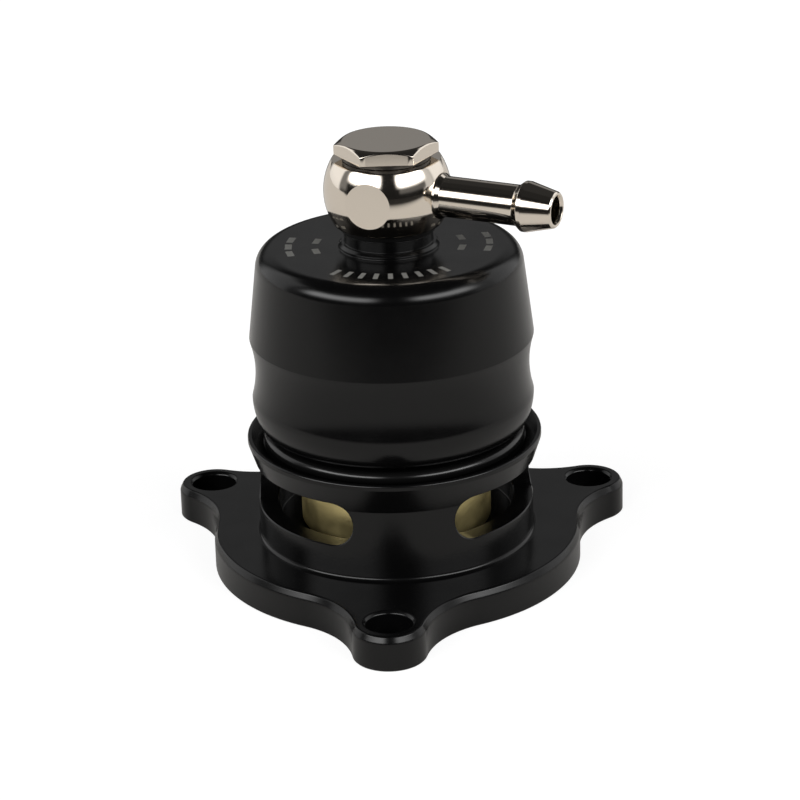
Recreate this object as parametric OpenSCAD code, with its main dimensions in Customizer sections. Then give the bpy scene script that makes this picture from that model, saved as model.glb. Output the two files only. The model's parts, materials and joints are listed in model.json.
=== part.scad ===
// Blow off valve on a three ear flange, with a vented neck, a sprung piston and a banjo hose fitting.
// Millimetres. Origin at the centre of the flange's lower face, +Z up the valve axis, one ear towards -Y.

/* [Flange] */
// Thickness of the flange plate
flange_t = 5.2; // [4.5:0.1:8]
// Diameter of the flange disc between its ears
disc_d = 54.2; // [50:0.2:58]
// Diameter of the circle that the bolt holes lie on
bolt_pcd = 66.3; // [62:0.1:72]
// Diameter of a bolt hole
bolt_hole_d = 6.5; // [5:0.1:7]
// Wall of an ear around its bolt hole
ear_wall = 2; // [1.6:0.1:3]
// Radius of the concave blend from the disc into an ear
ear_blend_r = 14; // [8:0.5:18]
// Bevel round the mouth of a bolt hole
hole_bevel = 0.4; // [0.3:0.1:0.9]

/* [Inlet and seat] */
// Diameter of the inlet under the piston
inlet_d = 24; // [22:0.2:25]
// Width of the seat that the piston closes on
seat_w = 1.95; // [1.6:0.05:2.3]
// Height of the seat above the top of the flange
seat_rise = 1.6; // [1:0.1:4]
// Land between the inlet and the groove of the flange seal
seal_land = 2.1; // [1.5:0.1:3]
// Section of the flange seal
flange_seal_d = 2.2; // [1.6:0.1:2.6]
// Side room of the flange seal in its groove
groove_room = 0.6; // [0.4:0.1:1]

/* [Neck and collar] */
// Outer diameter of the neck
neck_d = 40.4; // [39.4:0.1:43]
// Wall of the neck
neck_wall = 2.9; // [2.4:0.1:3.3]
// Radius of the fillet at the foot of the neck
neck_fillet = 0.6; // [0.4:0.1:2]
// Height of the lower edge of the vents above the flange
vent_rise = 4.9; // [4.2:0.1:7]
// Height of a vent
vent_h = 6.6; // [5:0.1:8]
// Angle that a vent covers from end to end
vent_angle = 77.5; // [60:0.5:90]
// Turn of the vents against the ears
vent_turn = 5.6; // [-10:0.1:10]
// Height of the collar above the vents
collar_h = 3.8; // [3.2:0.1:6]
// How far the collar flares beyond the neck
collar_flare = 1.3; // [0.8:0.1:2.5]
// How far the flare starts below the tops of the vents
flare_lap = 0.9; // [0.5:0.1:1.4]
// Width of the collar's rim
rim_w = 0.55; // [0.4:0.05:1]
// Height of the collar's rim above its flare
rim_h = 0.8; // [0.5:0.1:1.2]
// Depth of the cap seal's seat below the rim
funnel_h = 1.1; // [0.9:0.1:1.4]

/* [Cap] */
// Diameter of the cap at its lower bulge
cap_d = 41; // [40:0.1:44]
// Height of the end of the cap's spigot above the tops of the vents
spigot_rise = 0.4; // [0.2:0.1:0.8]
// How far the cap's lower lip lies inside the bulge
lip_inset = 0.9; // [0.4:0.1:1.4]
// Height of the lip above the collar's rim
lip_gap = 2.2; // [1.9:0.1:4]
// Height from the lip to the bulge
bulge_rise = 3.8; // [2.5:0.1:5]
// Height from the bulge to the shoulder edge
waist_h = 9.1; // [7:0.1:12]
// Depth of the waist between the bulge and the shoulder edge
waist_depth = 0.6; // [0.3:0.05:1.2]
// How far the shoulder edge stands out beyond the bulge
shoulder_out = 0.1; // [0.05:0.05:0.4]
// Height from the shoulder edge to the top
crown_h = 13.3; // [11:0.1:16]
// How far the crown tapers in from the shoulder edge to the top
crown_taper = 1.3; // [0.5:0.1:3]
// Radius of the rounded edge of the crown
crown_round = 2.8; // [1:0.1:3.4]
// Thickness of the cap's roof
roof_t = 5; // [4.4:0.1:6]
// Section of the seal between the cap and the collar
cap_seal_d = 1.8; // [1.4:0.1:2]

/* [Boss] */
// Diameter of the boss on the cap
boss_d = 14.4; // [13.4:0.1:18]
// Height of the boss
boss_h = 0.8; // [0.5:0.1:1.5]
// Diameter of the pad on the boss
pad_d = 12.8; // [12:0.1:13.2]
// Height of the pad
pad_h = 1.7; // [1:0.1:3]

/* [Piston and spring] */
// Length of the piston
piston_len = 23.2; // [21:0.1:25]
// Wall of the piston
piston_wall = 2.4; // [2.2:0.1:2.8]
// Thickness of the piston's floor
piston_floor = 2.6; // [2:0.1:4]
// Travel of the piston from its seat to its stop
travel = 8; // [6:0.1:9]
// Section of the piston's seal
piston_seal_d = 1.6; // [1.3:0.1:1.7]
// Distance from the piston's top down to the middle of its seal
seal_drop = 2.4; // [2.2:0.1:3]
// Height of the piston's guide ring
guide_h = 3; // [2:0.1:4]
// Thickness of the piston's guide ring
guide_t = 1; // [0.8:0.1:1.3]
// Distance from the piston's top down to the foot of its guide ring
guide_drop = 9.4; // [8.6:0.1:10]
// Diameter of the spring wire
wire_d = 1.6; // [1.2:0.1:2]
// Turns of the spring, with its closed ends
spring_turns = 9; // [7:1:11]
// Room between the spring and the wall around it
spring_room = 1; // [0.6:0.1:1.4]

/* [Banjo] */
// Diameter of the banjo's ball
ball_d = 18.2; // [17.4:0.1:20]
// Height of the banjo between its flat faces
banjo_h = 9.4; // [8.6:0.1:11]
// Diameter of the flats on the ball
flat_d = 6.6; // [6.2:0.1:7.2]
// Turn of the bare flat against the nipple
flat_turn = -83; // [-100:1:-70]
// Diameter of the banjo bolt
bolt_d = 8; // [7:0.1:8.4]
// Diameter of the bolt's drilled passage
passage_d = 4; // [3:0.1:4.4]
// Diameter of the cross hole in the bolt
cross_hole_d = 2.4; // [1.6:0.1:2.8]
// Depth of the bolt's waist inside the banjo
bolt_waist = 0.8; // [0.5:0.1:1]
// How far the bolt stops short of the inner side of the cap's roof
bolt_short = 0.8; // [0.4:0.1:1.5]
// Width across the flats of the bolt's head
head_af = 13; // [12:0.1:14]
// Height of the bolt's head
head_h = 2.1; // [1.8:0.1:5]
// How far the bevel of the head comes in from its flats
head_bevel = 0.26; // [0.1:0.02:0.5]
// Turn of the bolt's head
head_turn = 2.6; // [0:0.1:60]
// Diameter of the washer under the head
head_washer_d = 12.6; // [11.4:0.1:13.2]
// Thickness of the washer under the head
head_washer_t = 0.6; // [0.4:0.1:1.5]
// Diameter of the sealing washer on the pad
pad_washer_d = 13.6; // [13:0.1:15]
// Thickness of the sealing washer on the pad
pad_washer_t = 1.1; // [0.8:0.1:2]

/* [Hose nipple] */
// Direction of the nipple round the valve axis
nipple_turn = -24; // [-180:1:180]
// Distance from the valve axis to the nipple's tip
nipple_reach = 26.2; // [24:0.1:40]
// Diameter of the nipple's shank
shank_d = 5.8; // [5:0.1:6]
// Distance from the banjo's bore to the nipple's root
root_gap = 1.2; // [0.8:0.1:2]
// Length of the nipple's foot on the ball
foot_len = 0.9; // [0.6:0.1:1.5]
// Diameter of the barb
barb_d = 7.2; // [6.6:0.1:8]
// Length of the barb from its ridge to the tip
barb_len = 4.5; // [3.6:0.1:7]
// Diameter of the nipple's tip
tip_d = 5.2; // [4.8:0.1:5.6]
// Diameter of the nipple's passage
nipple_bore_d = 3.8; // [3:0.1:4]

/* [Clearances] */
// Radial clearance of the piston and its rings in the cap
run_gap = 0.05; // [0.02:0.01:0.1]
// Radial clearance of the banjo on its bolt
swivel_gap = 0.06; // [0.02:0.01:0.1]
// Clearance between the banjo and each washer
face_gap = 0.02; // [0.01:0.01:0.1]
// Clearance of screwed, seated and brazed pieces
seat_gap = 0.05; // [0.02:0.01:0.1]
// Clearance between the piston and its stop at full travel
stop_gap = 0.2; // [0.1:0.1:0.5]

/* [Hidden] */
$fn = 96;

// Length by which a cutter passes the faces that it cuts
over = 1;
ears = 3;
// Bevel on the ends of turned pieces
lead = 0.5;

// Colours
anodised = "#1c1c1d";
rubber = "#151515";
brass = "#b59a5a";
nickel = "#c9c4ba";
steel = "#9a9da0";
guide_colour = "#d8d2c0";

// Radii and heights of the flange and the neck
disc_r = disc_d / 2;
bolt_r = bolt_pcd / 2;
hole_r = bolt_hole_d / 2;
ear_r = hole_r + ear_wall;
inlet_r = inlet_d / 2;
neck_r = neck_d / 2;
chamber_r = neck_r - neck_wall;
collar_r = neck_r + collar_flare;
seat_z = flange_t + seat_rise;
vent_z = flange_t + vent_rise;
vent_top = vent_z + vent_h;
rim_z = vent_top + collar_h;
seal_groove_r = inlet_r + seal_land;
seal_groove_w = flange_seal_d + groove_room;
seal_groove_h = flange_seal_d + seat_gap;

// The blend of an ear touches the disc and the ear's round end, and laps over both by a little
disc_to_blend = disc_r + ear_blend_r;
ear_to_blend = ear_r + ear_blend_r;
blend_a = acos((bolt_r ^ 2 + disc_to_blend ^ 2 - ear_to_blend ^ 2) / (2 * bolt_r * disc_to_blend));
blend_x = disc_to_blend * cos(blend_a);
blend_y = disc_to_blend * sin(blend_a);
web_x = inlet_r * cos(blend_a);
web_y = inlet_r * sin(blend_a);
blend_lap = 0.04;

// The rounded ends of a vent are lower than the vent by a hair on each side
round_step = 0.02;

// The collar flares from just under the tops of the vents, and its funnel holds the cap's seal
flare_z = vent_top - flare_lap;
flare_top = rim_z - rim_h;
rim_break = 0.2;
rim_inner_r = collar_r - rim_w;
funnel_z = rim_z - funnel_h;
funnel_r = chamber_r + cap_seal_d + 2 * seat_gap;

// Radii and heights of the cap
spigot_r = chamber_r - seat_gap;
spigot_z = vent_top + spigot_rise;
cap_r = cap_d / 2;
lip_r = cap_r - lip_inset;
lip_z = rim_z + lip_gap;
bulge_z = lip_z + bulge_rise;
shoulder_z = bulge_z + waist_h;
top_z = shoulder_z + crown_h;
shoulder_r = cap_r + shoulder_out;
crown_r = shoulder_r - crown_taper;
cap_seal_z = funnel_z + seat_gap + cap_seal_d / 2;
under_z = cap_seal_z + cap_seal_d / 2 + seat_gap;
roof_z = top_z - roof_t;
pad_z = top_z + boss_h + pad_h;

// Radii and heights of the piston and the spring
piston_r = inlet_r + seat_w;
bore_r = piston_r + run_gap;
cup_r = piston_r - piston_wall;
piston_top = seat_z + piston_len;
stop_z = piston_top + travel + stop_gap;
floor_z = seat_z + piston_floor;
ring_r = piston_r + run_gap / 2;
piston_seal_z = piston_top - seal_drop;
piston_seal_groove_r = ring_r - piston_seal_d - seat_gap;
guide_z = piston_top - guide_drop;
spring_r = cup_r - spring_room - wire_d / 2;
spring_lo = floor_z + seat_gap + wire_d / 2;
spring_hi = roof_z - seat_gap - wire_d / 2;
close_gap = 0.03;

// Radii and heights of the banjo stack
ball_r = ball_d / 2;
shank_r = shank_d / 2;
screw_r = bolt_d / 2;
banjo_z = pad_z + pad_washer_t + face_gap;
banjo_mid = banjo_z + banjo_h / 2;
head_washer_z = banjo_z + banjo_h + face_gap;
head_z = head_washer_z + head_washer_t;
screw_end = roof_z + bolt_short;
flat_x = sqrt(ball_r ^ 2 - (flat_d / 2) ^ 2);
root_x = screw_r + swivel_gap + root_gap;
ridge_x = nipple_reach - barb_len;

// Points of an arc about a centre, from one angle to another
function arc(centre, r, from, to, steps = 8) =
    [for (i = [0 : steps]) let (a = from + (to - from) * i / steps) centre + r * [cos(a), sin(a)]];

// Points of the arc of a shallow hollow of a given depth between two points above each other
function hollow(low, high, depth, steps = 10) =
    let (half = (high[1] - low[1]) / 2,
         r = (half ^ 2 + depth ^ 2) / (2 * depth),
         mid = [(low[0] + high[0]) / 2 + r - depth, (low[1] + high[1]) / 2],
         a = asin(half / r))
    arc(mid, r, 180 + a, 180 - a, steps);

// Height of the wire's centre after a number of turns, with closed turns at both ends of the spring
function coil_z(turn) =
    let (closed = wire_d + close_gap,
         free = (spring_hi - spring_lo - 2 * closed) / (spring_turns - 2))
    turn < 1 ? spring_lo + closed * turn
    : turn > spring_turns - 1 ? spring_hi - closed * (spring_turns - turn)
    : spring_lo + closed + free * (turn - 1);

// Flange

module flange_outline() {
    circle(disc_r);
    for (i = [0 : ears - 1]) rotate(270 + i * 360 / ears) {
        translate([bolt_r, 0]) circle(ear_r);
        difference() {
            polygon([[web_x, -web_y], [blend_x, -blend_y], [bolt_r, 0],
                     [blend_x, blend_y], [web_x, web_y]]);
            for (side = [-1, 1]) translate([blend_x, side * blend_y]) circle(ear_blend_r + blend_lap);
        }
    }
}

module bolt_hole() {
    translate([0, 0, -over]) cylinder(h = flange_t + 2 * over, r = hole_r);
    translate([0, 0, flange_t - hole_bevel])
        cylinder(h = hole_bevel + over, r1 = hole_r, r2 = hole_r + hole_bevel + over);
}

module neck_profile() {
    foot = [neck_r + neck_fillet, flange_t + neck_fillet];
    polygon(concat(
        [[inlet_r, 0], [neck_r + neck_fillet + over, 0], [neck_r + neck_fillet + over, flange_t]],
        arc(foot, neck_fillet, 270, 180, 6),
        [[neck_r, flare_z], [collar_r, flare_top], [collar_r, rim_z - rim_break],
         [collar_r - rim_break, rim_z], [rim_inner_r, rim_z], [funnel_r, funnel_z],
         [chamber_r, funnel_z], [chamber_r, seat_z], [inlet_r, seat_z]]));
}

// A vent runs round the neck and ends in rounds
module vent_cutter() {
    end_a = vent_angle / 2 - asin(vent_h / 2 / neck_r);
    round_r = vent_h / 2 - round_step;
    inner_r = chamber_r - over;
    depth = neck_wall + collar_flare + 2 * over;
    rotate_extrude(angle = 2 * end_a, start = -end_a)
        translate([inner_r, vent_z]) square([depth, vent_h]);
    for (side = [-1, 1])
        rotate(side * end_a) translate([inner_r - over, 0, vent_z + vent_h / 2]) rotate([0, 90, 0])
            cylinder(h = depth + 2 * over, r = round_r);
}

module base_flange() {
    color(anodised) difference() {
        union() {
            difference() {
                linear_extrude(flange_t) flange_outline();
                translate([0, 0, -over]) cylinder(h = flange_t + 2 * over, r = neck_r);
            }
            rotate_extrude() neck_profile();
        }
        for (i = [0 : ears - 1]) {
            rotate(270 + i * 360 / ears) translate([bolt_r, 0, 0]) bolt_hole();
            rotate(330 + vent_turn + i * 360 / ears) vent_cutter();
        }
        rotate_extrude() translate([seal_groove_r, -over]) square([seal_groove_w, seal_groove_h + over]);
    }
}

module flange_seal() {
    color(rubber) rotate_extrude()
        translate([seal_groove_r + seal_groove_w / 2, seat_gap + flange_seal_d / 2])
            circle(d = flange_seal_d);
}

// Cap

module cap_profile() {
    bulge_r = (lip_inset ^ 2 + bulge_rise ^ 2) / (2 * lip_inset);
    bulge_a = asin(bulge_rise / bulge_r);
    edge = 0.4;
    edge_in = 0.1;
    low = [cap_r, bulge_z];
    high = [shoulder_r - edge_in, shoulder_z - edge];
    polygon(concat(
        [[bore_r, spigot_z], [spigot_r, spigot_z], [spigot_r, under_z], [lip_r - edge, lip_z - edge]],
        arc([cap_r - bulge_r, bulge_z], bulge_r, -bulge_a, 0, 8),
        hollow(low, high, waist_depth),
        [[shoulder_r, shoulder_z]],
        arc([crown_r - crown_round, top_z - crown_round], crown_round, atan(crown_taper / crown_h), 90, 8),
        [[boss_d / 2, top_z], [boss_d / 2, top_z + boss_h / 2], [boss_d / 2 - boss_h / 2, top_z + boss_h],
         [pad_d / 2, top_z + boss_h], [pad_d / 2, pad_z], [screw_r + seat_gap, pad_z],
         [screw_r + seat_gap, roof_z], [cup_r, roof_z], [cup_r, stop_z], [bore_r, stop_z]]));
}

module cap() {
    color(anodised) rotate_extrude() cap_profile();
}

module cap_seal() {
    color(rubber) rotate_extrude()
        translate([chamber_r + seat_gap + cap_seal_d / 2, cap_seal_z]) circle(d = cap_seal_d);
}

// Piston and spring

module piston() {
    color(brass) rotate_extrude() polygon([
        [0, seat_z], [piston_r - lead, seat_z], [piston_r, seat_z + lead],
        [piston_r, guide_z], [ring_r - guide_t - seat_gap, guide_z],
        [ring_r - guide_t - seat_gap, guide_z + guide_h + 2 * seat_gap],
        [piston_r, guide_z + guide_h + 2 * seat_gap],
        [piston_r, piston_seal_z - piston_seal_d / 2 - 2 * seat_gap],
        [piston_seal_groove_r, piston_seal_z - piston_seal_d / 2 - 2 * seat_gap],
        [piston_seal_groove_r, piston_seal_z + piston_seal_d / 2 + 2 * seat_gap],
        [piston_r, piston_seal_z + piston_seal_d / 2 + 2 * seat_gap],
        [piston_r, piston_top - lead], [piston_r - lead, piston_top],
        [cup_r, piston_top], [cup_r, floor_z], [0, floor_z]]);
}

module piston_seal() {
    color(rubber) rotate_extrude()
        translate([ring_r - piston_seal_d / 2, piston_seal_z]) circle(d = piston_seal_d);
}

module guide_ring() {
    color(guide_colour) rotate_extrude()
        translate([ring_r - guide_t, guide_z + seat_gap]) square([guide_t, guide_h]);
}

module spring() {
    steps = 18;
    sides = 8;
    rings = spring_turns * steps;
    points = [for (i = [0 : rings], k = [0 : sides - 1])
        let (turn = i / steps, a = 360 * turn, b = 360 * k / sides, r = spring_r + wire_d / 2 * cos(b))
        [r * cos(a), r * sin(a), coil_z(turn) + wire_d / 2 * sin(b)]];
    walls = [for (i = [0 : rings - 1], k = [0 : sides - 1])
        let (next = (k + 1) % sides)
        [i * sides + k, i * sides + next, (i + 1) * sides + next, (i + 1) * sides + k]];
    start = [for (k = [0 : sides - 1]) sides - 1 - k];
    end = [for (k = [0 : sides - 1]) rings * sides + k];
    color(steel) polyhedron(points, concat(walls, [start, end]));
}

// Banjo fitting

module washer(d, t) {
    difference() {
        cylinder(h = t, d = d);
        translate([0, 0, -over]) cylinder(h = t + 2 * over, r = screw_r + seat_gap);
    }
}

module pad_washer() {
    color(rubber) translate([0, 0, pad_z]) washer(pad_washer_d, pad_washer_t);
}

module head_washer() {
    color(steel) translate([0, 0, head_washer_z]) washer(head_washer_d, head_washer_t);
}

module banjo_ring() {
    span = 4 * ball_r;
    color(nickel) translate([0, 0, banjo_mid]) rotate(nipple_turn) difference() {
        intersection() {
            sphere(ball_r);
            cube([span, span, banjo_h], center = true);
        }
        cylinder(h = span, r = screw_r + swivel_gap, center = true);
        for (turn = [0, flat_turn])
            rotate(turn) translate([flat_x, -span / 2, -span / 2]) cube(span);
        rotate([0, 90, 0]) cylinder(h = span, r = shank_r + seat_gap);
    }
}

module hose_nipple() {
    pipe_r = nipple_bore_d / 2;
    barb_r = barb_d / 2;
    barb_back = barb_r - shank_r + lead;
    foot_r = flat_d / 2;
    ridge_half = 0.3;
    tip_break = 0.2;
    color(nickel) translate([0, 0, banjo_mid]) rotate(nipple_turn) rotate([0, 90, 0]) rotate_extrude()
        polygon([[pipe_r, root_x], [shank_r, root_x], [shank_r, flat_x], [foot_r, flat_x],
                 [foot_r, flat_x + foot_len / 3], [shank_r, flat_x + foot_len],
                 [shank_r, ridge_x - barb_back],
                 [barb_r, ridge_x - ridge_half], [barb_r, ridge_x + ridge_half],
                 [tip_d / 2, nipple_reach - tip_break], [tip_d / 2 - tip_break, nipple_reach],
                 [pipe_r + tip_break, nipple_reach], [pipe_r, nipple_reach - 2 * tip_break]]);
}

module hex_head() {
    corner_r = head_af / sqrt(3);
    crown_r = head_af / 2 - head_bevel;
    slope = tan(30);
    side_h = head_h - (corner_r + over - crown_r) * slope;
    intersection() {
        rotate(head_turn) cylinder(h = head_h, r = corner_r, $fn = 6);
        rotate_extrude() polygon([[0, 0], [corner_r + over, 0], [corner_r + over, side_h],
                                  [crown_r, head_h], [0, head_h]]);
    }
}

// The bolt is drilled up its middle, and a cross hole lets the air out to a waist inside the banjo
module banjo_bolt() {
    waist_r = screw_r - bolt_waist;
    waist_lo = banjo_mid - banjo_h / 4;
    waist_hi = banjo_mid + banjo_h / 4;
    color(nickel) difference() {
        union() {
            translate([0, 0, head_z]) hex_head();
            rotate_extrude() polygon([[0, screw_end], [screw_r - lead, screw_end],
                                      [screw_r, screw_end + lead], [screw_r, waist_lo],
                                      [waist_r, waist_lo + lead],
                                      [waist_r, waist_hi - lead], [screw_r, waist_hi],
                                      [screw_r, head_z], [0, head_z]]);
        }
        translate([0, 0, screw_end - over])
            cylinder(h = banjo_mid + passage_d / 2 - screw_end + over, d = passage_d);
        translate([0, 0, banjo_mid]) rotate([0, 90, nipple_turn])
            cylinder(h = 4 * screw_r, d = cross_hole_d, center = true);
    }
}

base_flange();
flange_seal();
cap();
cap_seal();
piston();
piston_seal();
guide_ring();
spring();
pad_washer();
banjo_ring();
hose_nipple();
head_washer();
banjo_bolt();
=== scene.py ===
"""Looks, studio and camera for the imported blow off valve.

Sizes are in millimetres and angles in degrees, unless a name or a docstring says otherwise.
"""

from __future__ import annotations

import json
import logging
import math
from dataclasses import dataclass
from enum import Enum, IntEnum
from typing import ClassVar, Iterable, Sequence

import bmesh
import bpy
from mathutils import Matrix, Vector
from mathutils.geometry import delaunay_2d_cdt
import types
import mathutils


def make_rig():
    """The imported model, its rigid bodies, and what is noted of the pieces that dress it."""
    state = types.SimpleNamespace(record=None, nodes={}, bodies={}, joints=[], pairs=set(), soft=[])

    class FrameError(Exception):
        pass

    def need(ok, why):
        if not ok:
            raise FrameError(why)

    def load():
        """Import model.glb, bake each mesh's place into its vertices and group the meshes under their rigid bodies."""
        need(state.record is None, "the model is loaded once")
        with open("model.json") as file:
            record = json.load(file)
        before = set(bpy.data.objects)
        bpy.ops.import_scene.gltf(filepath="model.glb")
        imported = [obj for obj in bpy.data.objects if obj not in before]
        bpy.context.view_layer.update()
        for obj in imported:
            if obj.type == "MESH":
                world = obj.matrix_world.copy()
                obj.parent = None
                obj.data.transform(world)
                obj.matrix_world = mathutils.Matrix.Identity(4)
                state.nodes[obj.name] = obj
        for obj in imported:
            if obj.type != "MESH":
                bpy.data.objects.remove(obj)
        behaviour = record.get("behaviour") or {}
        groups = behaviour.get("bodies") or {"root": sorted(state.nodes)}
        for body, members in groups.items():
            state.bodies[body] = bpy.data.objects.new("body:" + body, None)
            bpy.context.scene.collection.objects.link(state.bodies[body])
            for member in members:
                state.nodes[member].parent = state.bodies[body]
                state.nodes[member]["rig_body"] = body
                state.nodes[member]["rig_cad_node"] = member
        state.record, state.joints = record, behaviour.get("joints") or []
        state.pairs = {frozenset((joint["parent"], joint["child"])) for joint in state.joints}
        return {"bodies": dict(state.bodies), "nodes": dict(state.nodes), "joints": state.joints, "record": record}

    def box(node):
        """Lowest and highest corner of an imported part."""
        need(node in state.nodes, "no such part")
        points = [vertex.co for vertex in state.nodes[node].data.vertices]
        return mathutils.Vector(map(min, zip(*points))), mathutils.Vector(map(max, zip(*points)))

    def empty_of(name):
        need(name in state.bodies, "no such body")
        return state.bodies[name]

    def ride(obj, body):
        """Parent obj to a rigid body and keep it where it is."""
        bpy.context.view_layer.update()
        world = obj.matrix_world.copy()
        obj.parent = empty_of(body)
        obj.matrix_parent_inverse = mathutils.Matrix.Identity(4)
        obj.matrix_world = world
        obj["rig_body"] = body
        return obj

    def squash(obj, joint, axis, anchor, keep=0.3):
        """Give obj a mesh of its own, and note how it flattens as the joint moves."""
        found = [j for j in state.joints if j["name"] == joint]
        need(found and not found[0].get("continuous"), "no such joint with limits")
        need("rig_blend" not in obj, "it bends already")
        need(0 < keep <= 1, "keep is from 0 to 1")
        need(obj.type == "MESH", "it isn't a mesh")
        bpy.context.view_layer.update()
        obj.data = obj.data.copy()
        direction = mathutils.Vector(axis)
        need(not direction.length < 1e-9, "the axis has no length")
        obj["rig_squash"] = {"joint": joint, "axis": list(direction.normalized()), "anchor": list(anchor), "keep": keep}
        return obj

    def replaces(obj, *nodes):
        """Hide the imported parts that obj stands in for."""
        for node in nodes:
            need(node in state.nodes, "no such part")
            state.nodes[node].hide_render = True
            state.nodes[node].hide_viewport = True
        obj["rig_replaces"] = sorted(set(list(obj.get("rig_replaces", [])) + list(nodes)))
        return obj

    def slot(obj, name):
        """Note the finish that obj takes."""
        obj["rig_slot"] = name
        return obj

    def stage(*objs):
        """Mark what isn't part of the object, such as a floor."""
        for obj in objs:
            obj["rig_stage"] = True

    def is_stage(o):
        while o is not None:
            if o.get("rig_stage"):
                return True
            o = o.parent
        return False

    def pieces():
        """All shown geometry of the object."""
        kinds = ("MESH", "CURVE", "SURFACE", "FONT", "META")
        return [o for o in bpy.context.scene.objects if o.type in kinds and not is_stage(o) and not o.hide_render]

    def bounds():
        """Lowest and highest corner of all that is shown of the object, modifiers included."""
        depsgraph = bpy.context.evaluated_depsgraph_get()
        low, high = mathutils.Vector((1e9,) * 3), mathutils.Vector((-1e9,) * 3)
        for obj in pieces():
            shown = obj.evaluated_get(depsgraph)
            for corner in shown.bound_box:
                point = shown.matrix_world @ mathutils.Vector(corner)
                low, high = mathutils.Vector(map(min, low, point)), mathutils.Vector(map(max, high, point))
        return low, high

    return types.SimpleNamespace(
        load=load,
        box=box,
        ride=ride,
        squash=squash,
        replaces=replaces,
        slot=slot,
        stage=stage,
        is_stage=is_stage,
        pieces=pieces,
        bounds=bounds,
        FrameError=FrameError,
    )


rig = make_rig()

LOG = logging.getLogger("blow_off_valve")
MM = 0.001
NEAR = 1e-6
SIZE_FILE = "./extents.json"

Pair = tuple[float, float]
Triple = tuple[float, float, float]
Colour = tuple[float, float, float, float]
Ring = list[tuple[Triple, Triple]]

OUTWARD: Pair = (1.0, 0.0)
INWARD: Pair = (-1.0, 0.0)
WHITE: Colour = (1.0, 1.0, 1.0, 1.0)


class Body(str, Enum):
    """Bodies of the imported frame."""

    HOUSING = "housing"
    PISTON = "piston"
    BANJO = "banjo"


class Slot(str, Enum):
    """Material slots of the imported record."""

    BASE = "anodised_base"
    CAP = "anodised_cap"
    BRASS = "brass"
    NICKEL = "nickel"
    SPRING = "spring_steel"
    WASHER = "washer_steel"
    PAD = "washer_rubber"
    RUBBER = "rubber"
    GUIDE = "guide_plastic"


class Edge(float, Enum):
    """Radii that break the corners of sections."""

    TIGHT = 0.05
    CRISP = 0.08
    FINE = 0.1
    KEEN = 0.12
    LIGHT = 0.15
    SOFT = 0.2
    WIDE = 0.3
    BROAD = 0.4


class Steps(IntEnum):
    """Steps round the axis of turned pieces."""

    CAP = 256
    BODY = 192
    SMALL = 128
    BORE = 96
    CUTTER = 48


# Sections and meshes


def unit(x: float, y: float) -> Pair:
    """A direction of length one."""
    size = math.hypot(x, y)
    return (x / size, y / size)


def facing(a: Pair, b: Pair) -> Pair:
    """Direction to the right of the way from a to b, which is out of the metal on the left."""
    return unit(b[1] - a[1], a[0] - b[0])


@dataclass(frozen=True)
class Corner:
    """A corner of a section and the radius that breaks it."""

    r: float
    z: float
    radius: float = 0.0


@dataclass(frozen=True)
class Run:
    """A smooth run of points of a section."""

    points: tuple[Pair, ...]


@dataclass(frozen=True)
class Station:
    """A point of a section and the direction that its surface faces there."""

    at: Pair
    facing: Pair


def arc(r: float, z: float, radius: float, start: float, end: float, steps: int = 12) -> Run:
    """A run along an arc.

    Args:
        r: radius of the arc's centre from the axis.
        z: height of the arc's centre.
        radius: the arc's own radius.
        start: first angle in degrees, from the outward direction towards up.
        end: last angle in degrees.
        steps: number of steps along the arc.

    Returns:
        The run of points.
    """
    angles = [math.radians(start + (end - start) * i / steps) for i in range(steps + 1)]
    return Run(tuple((r + radius * math.cos(a), z + radius * math.sin(a)) for a in angles))


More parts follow.
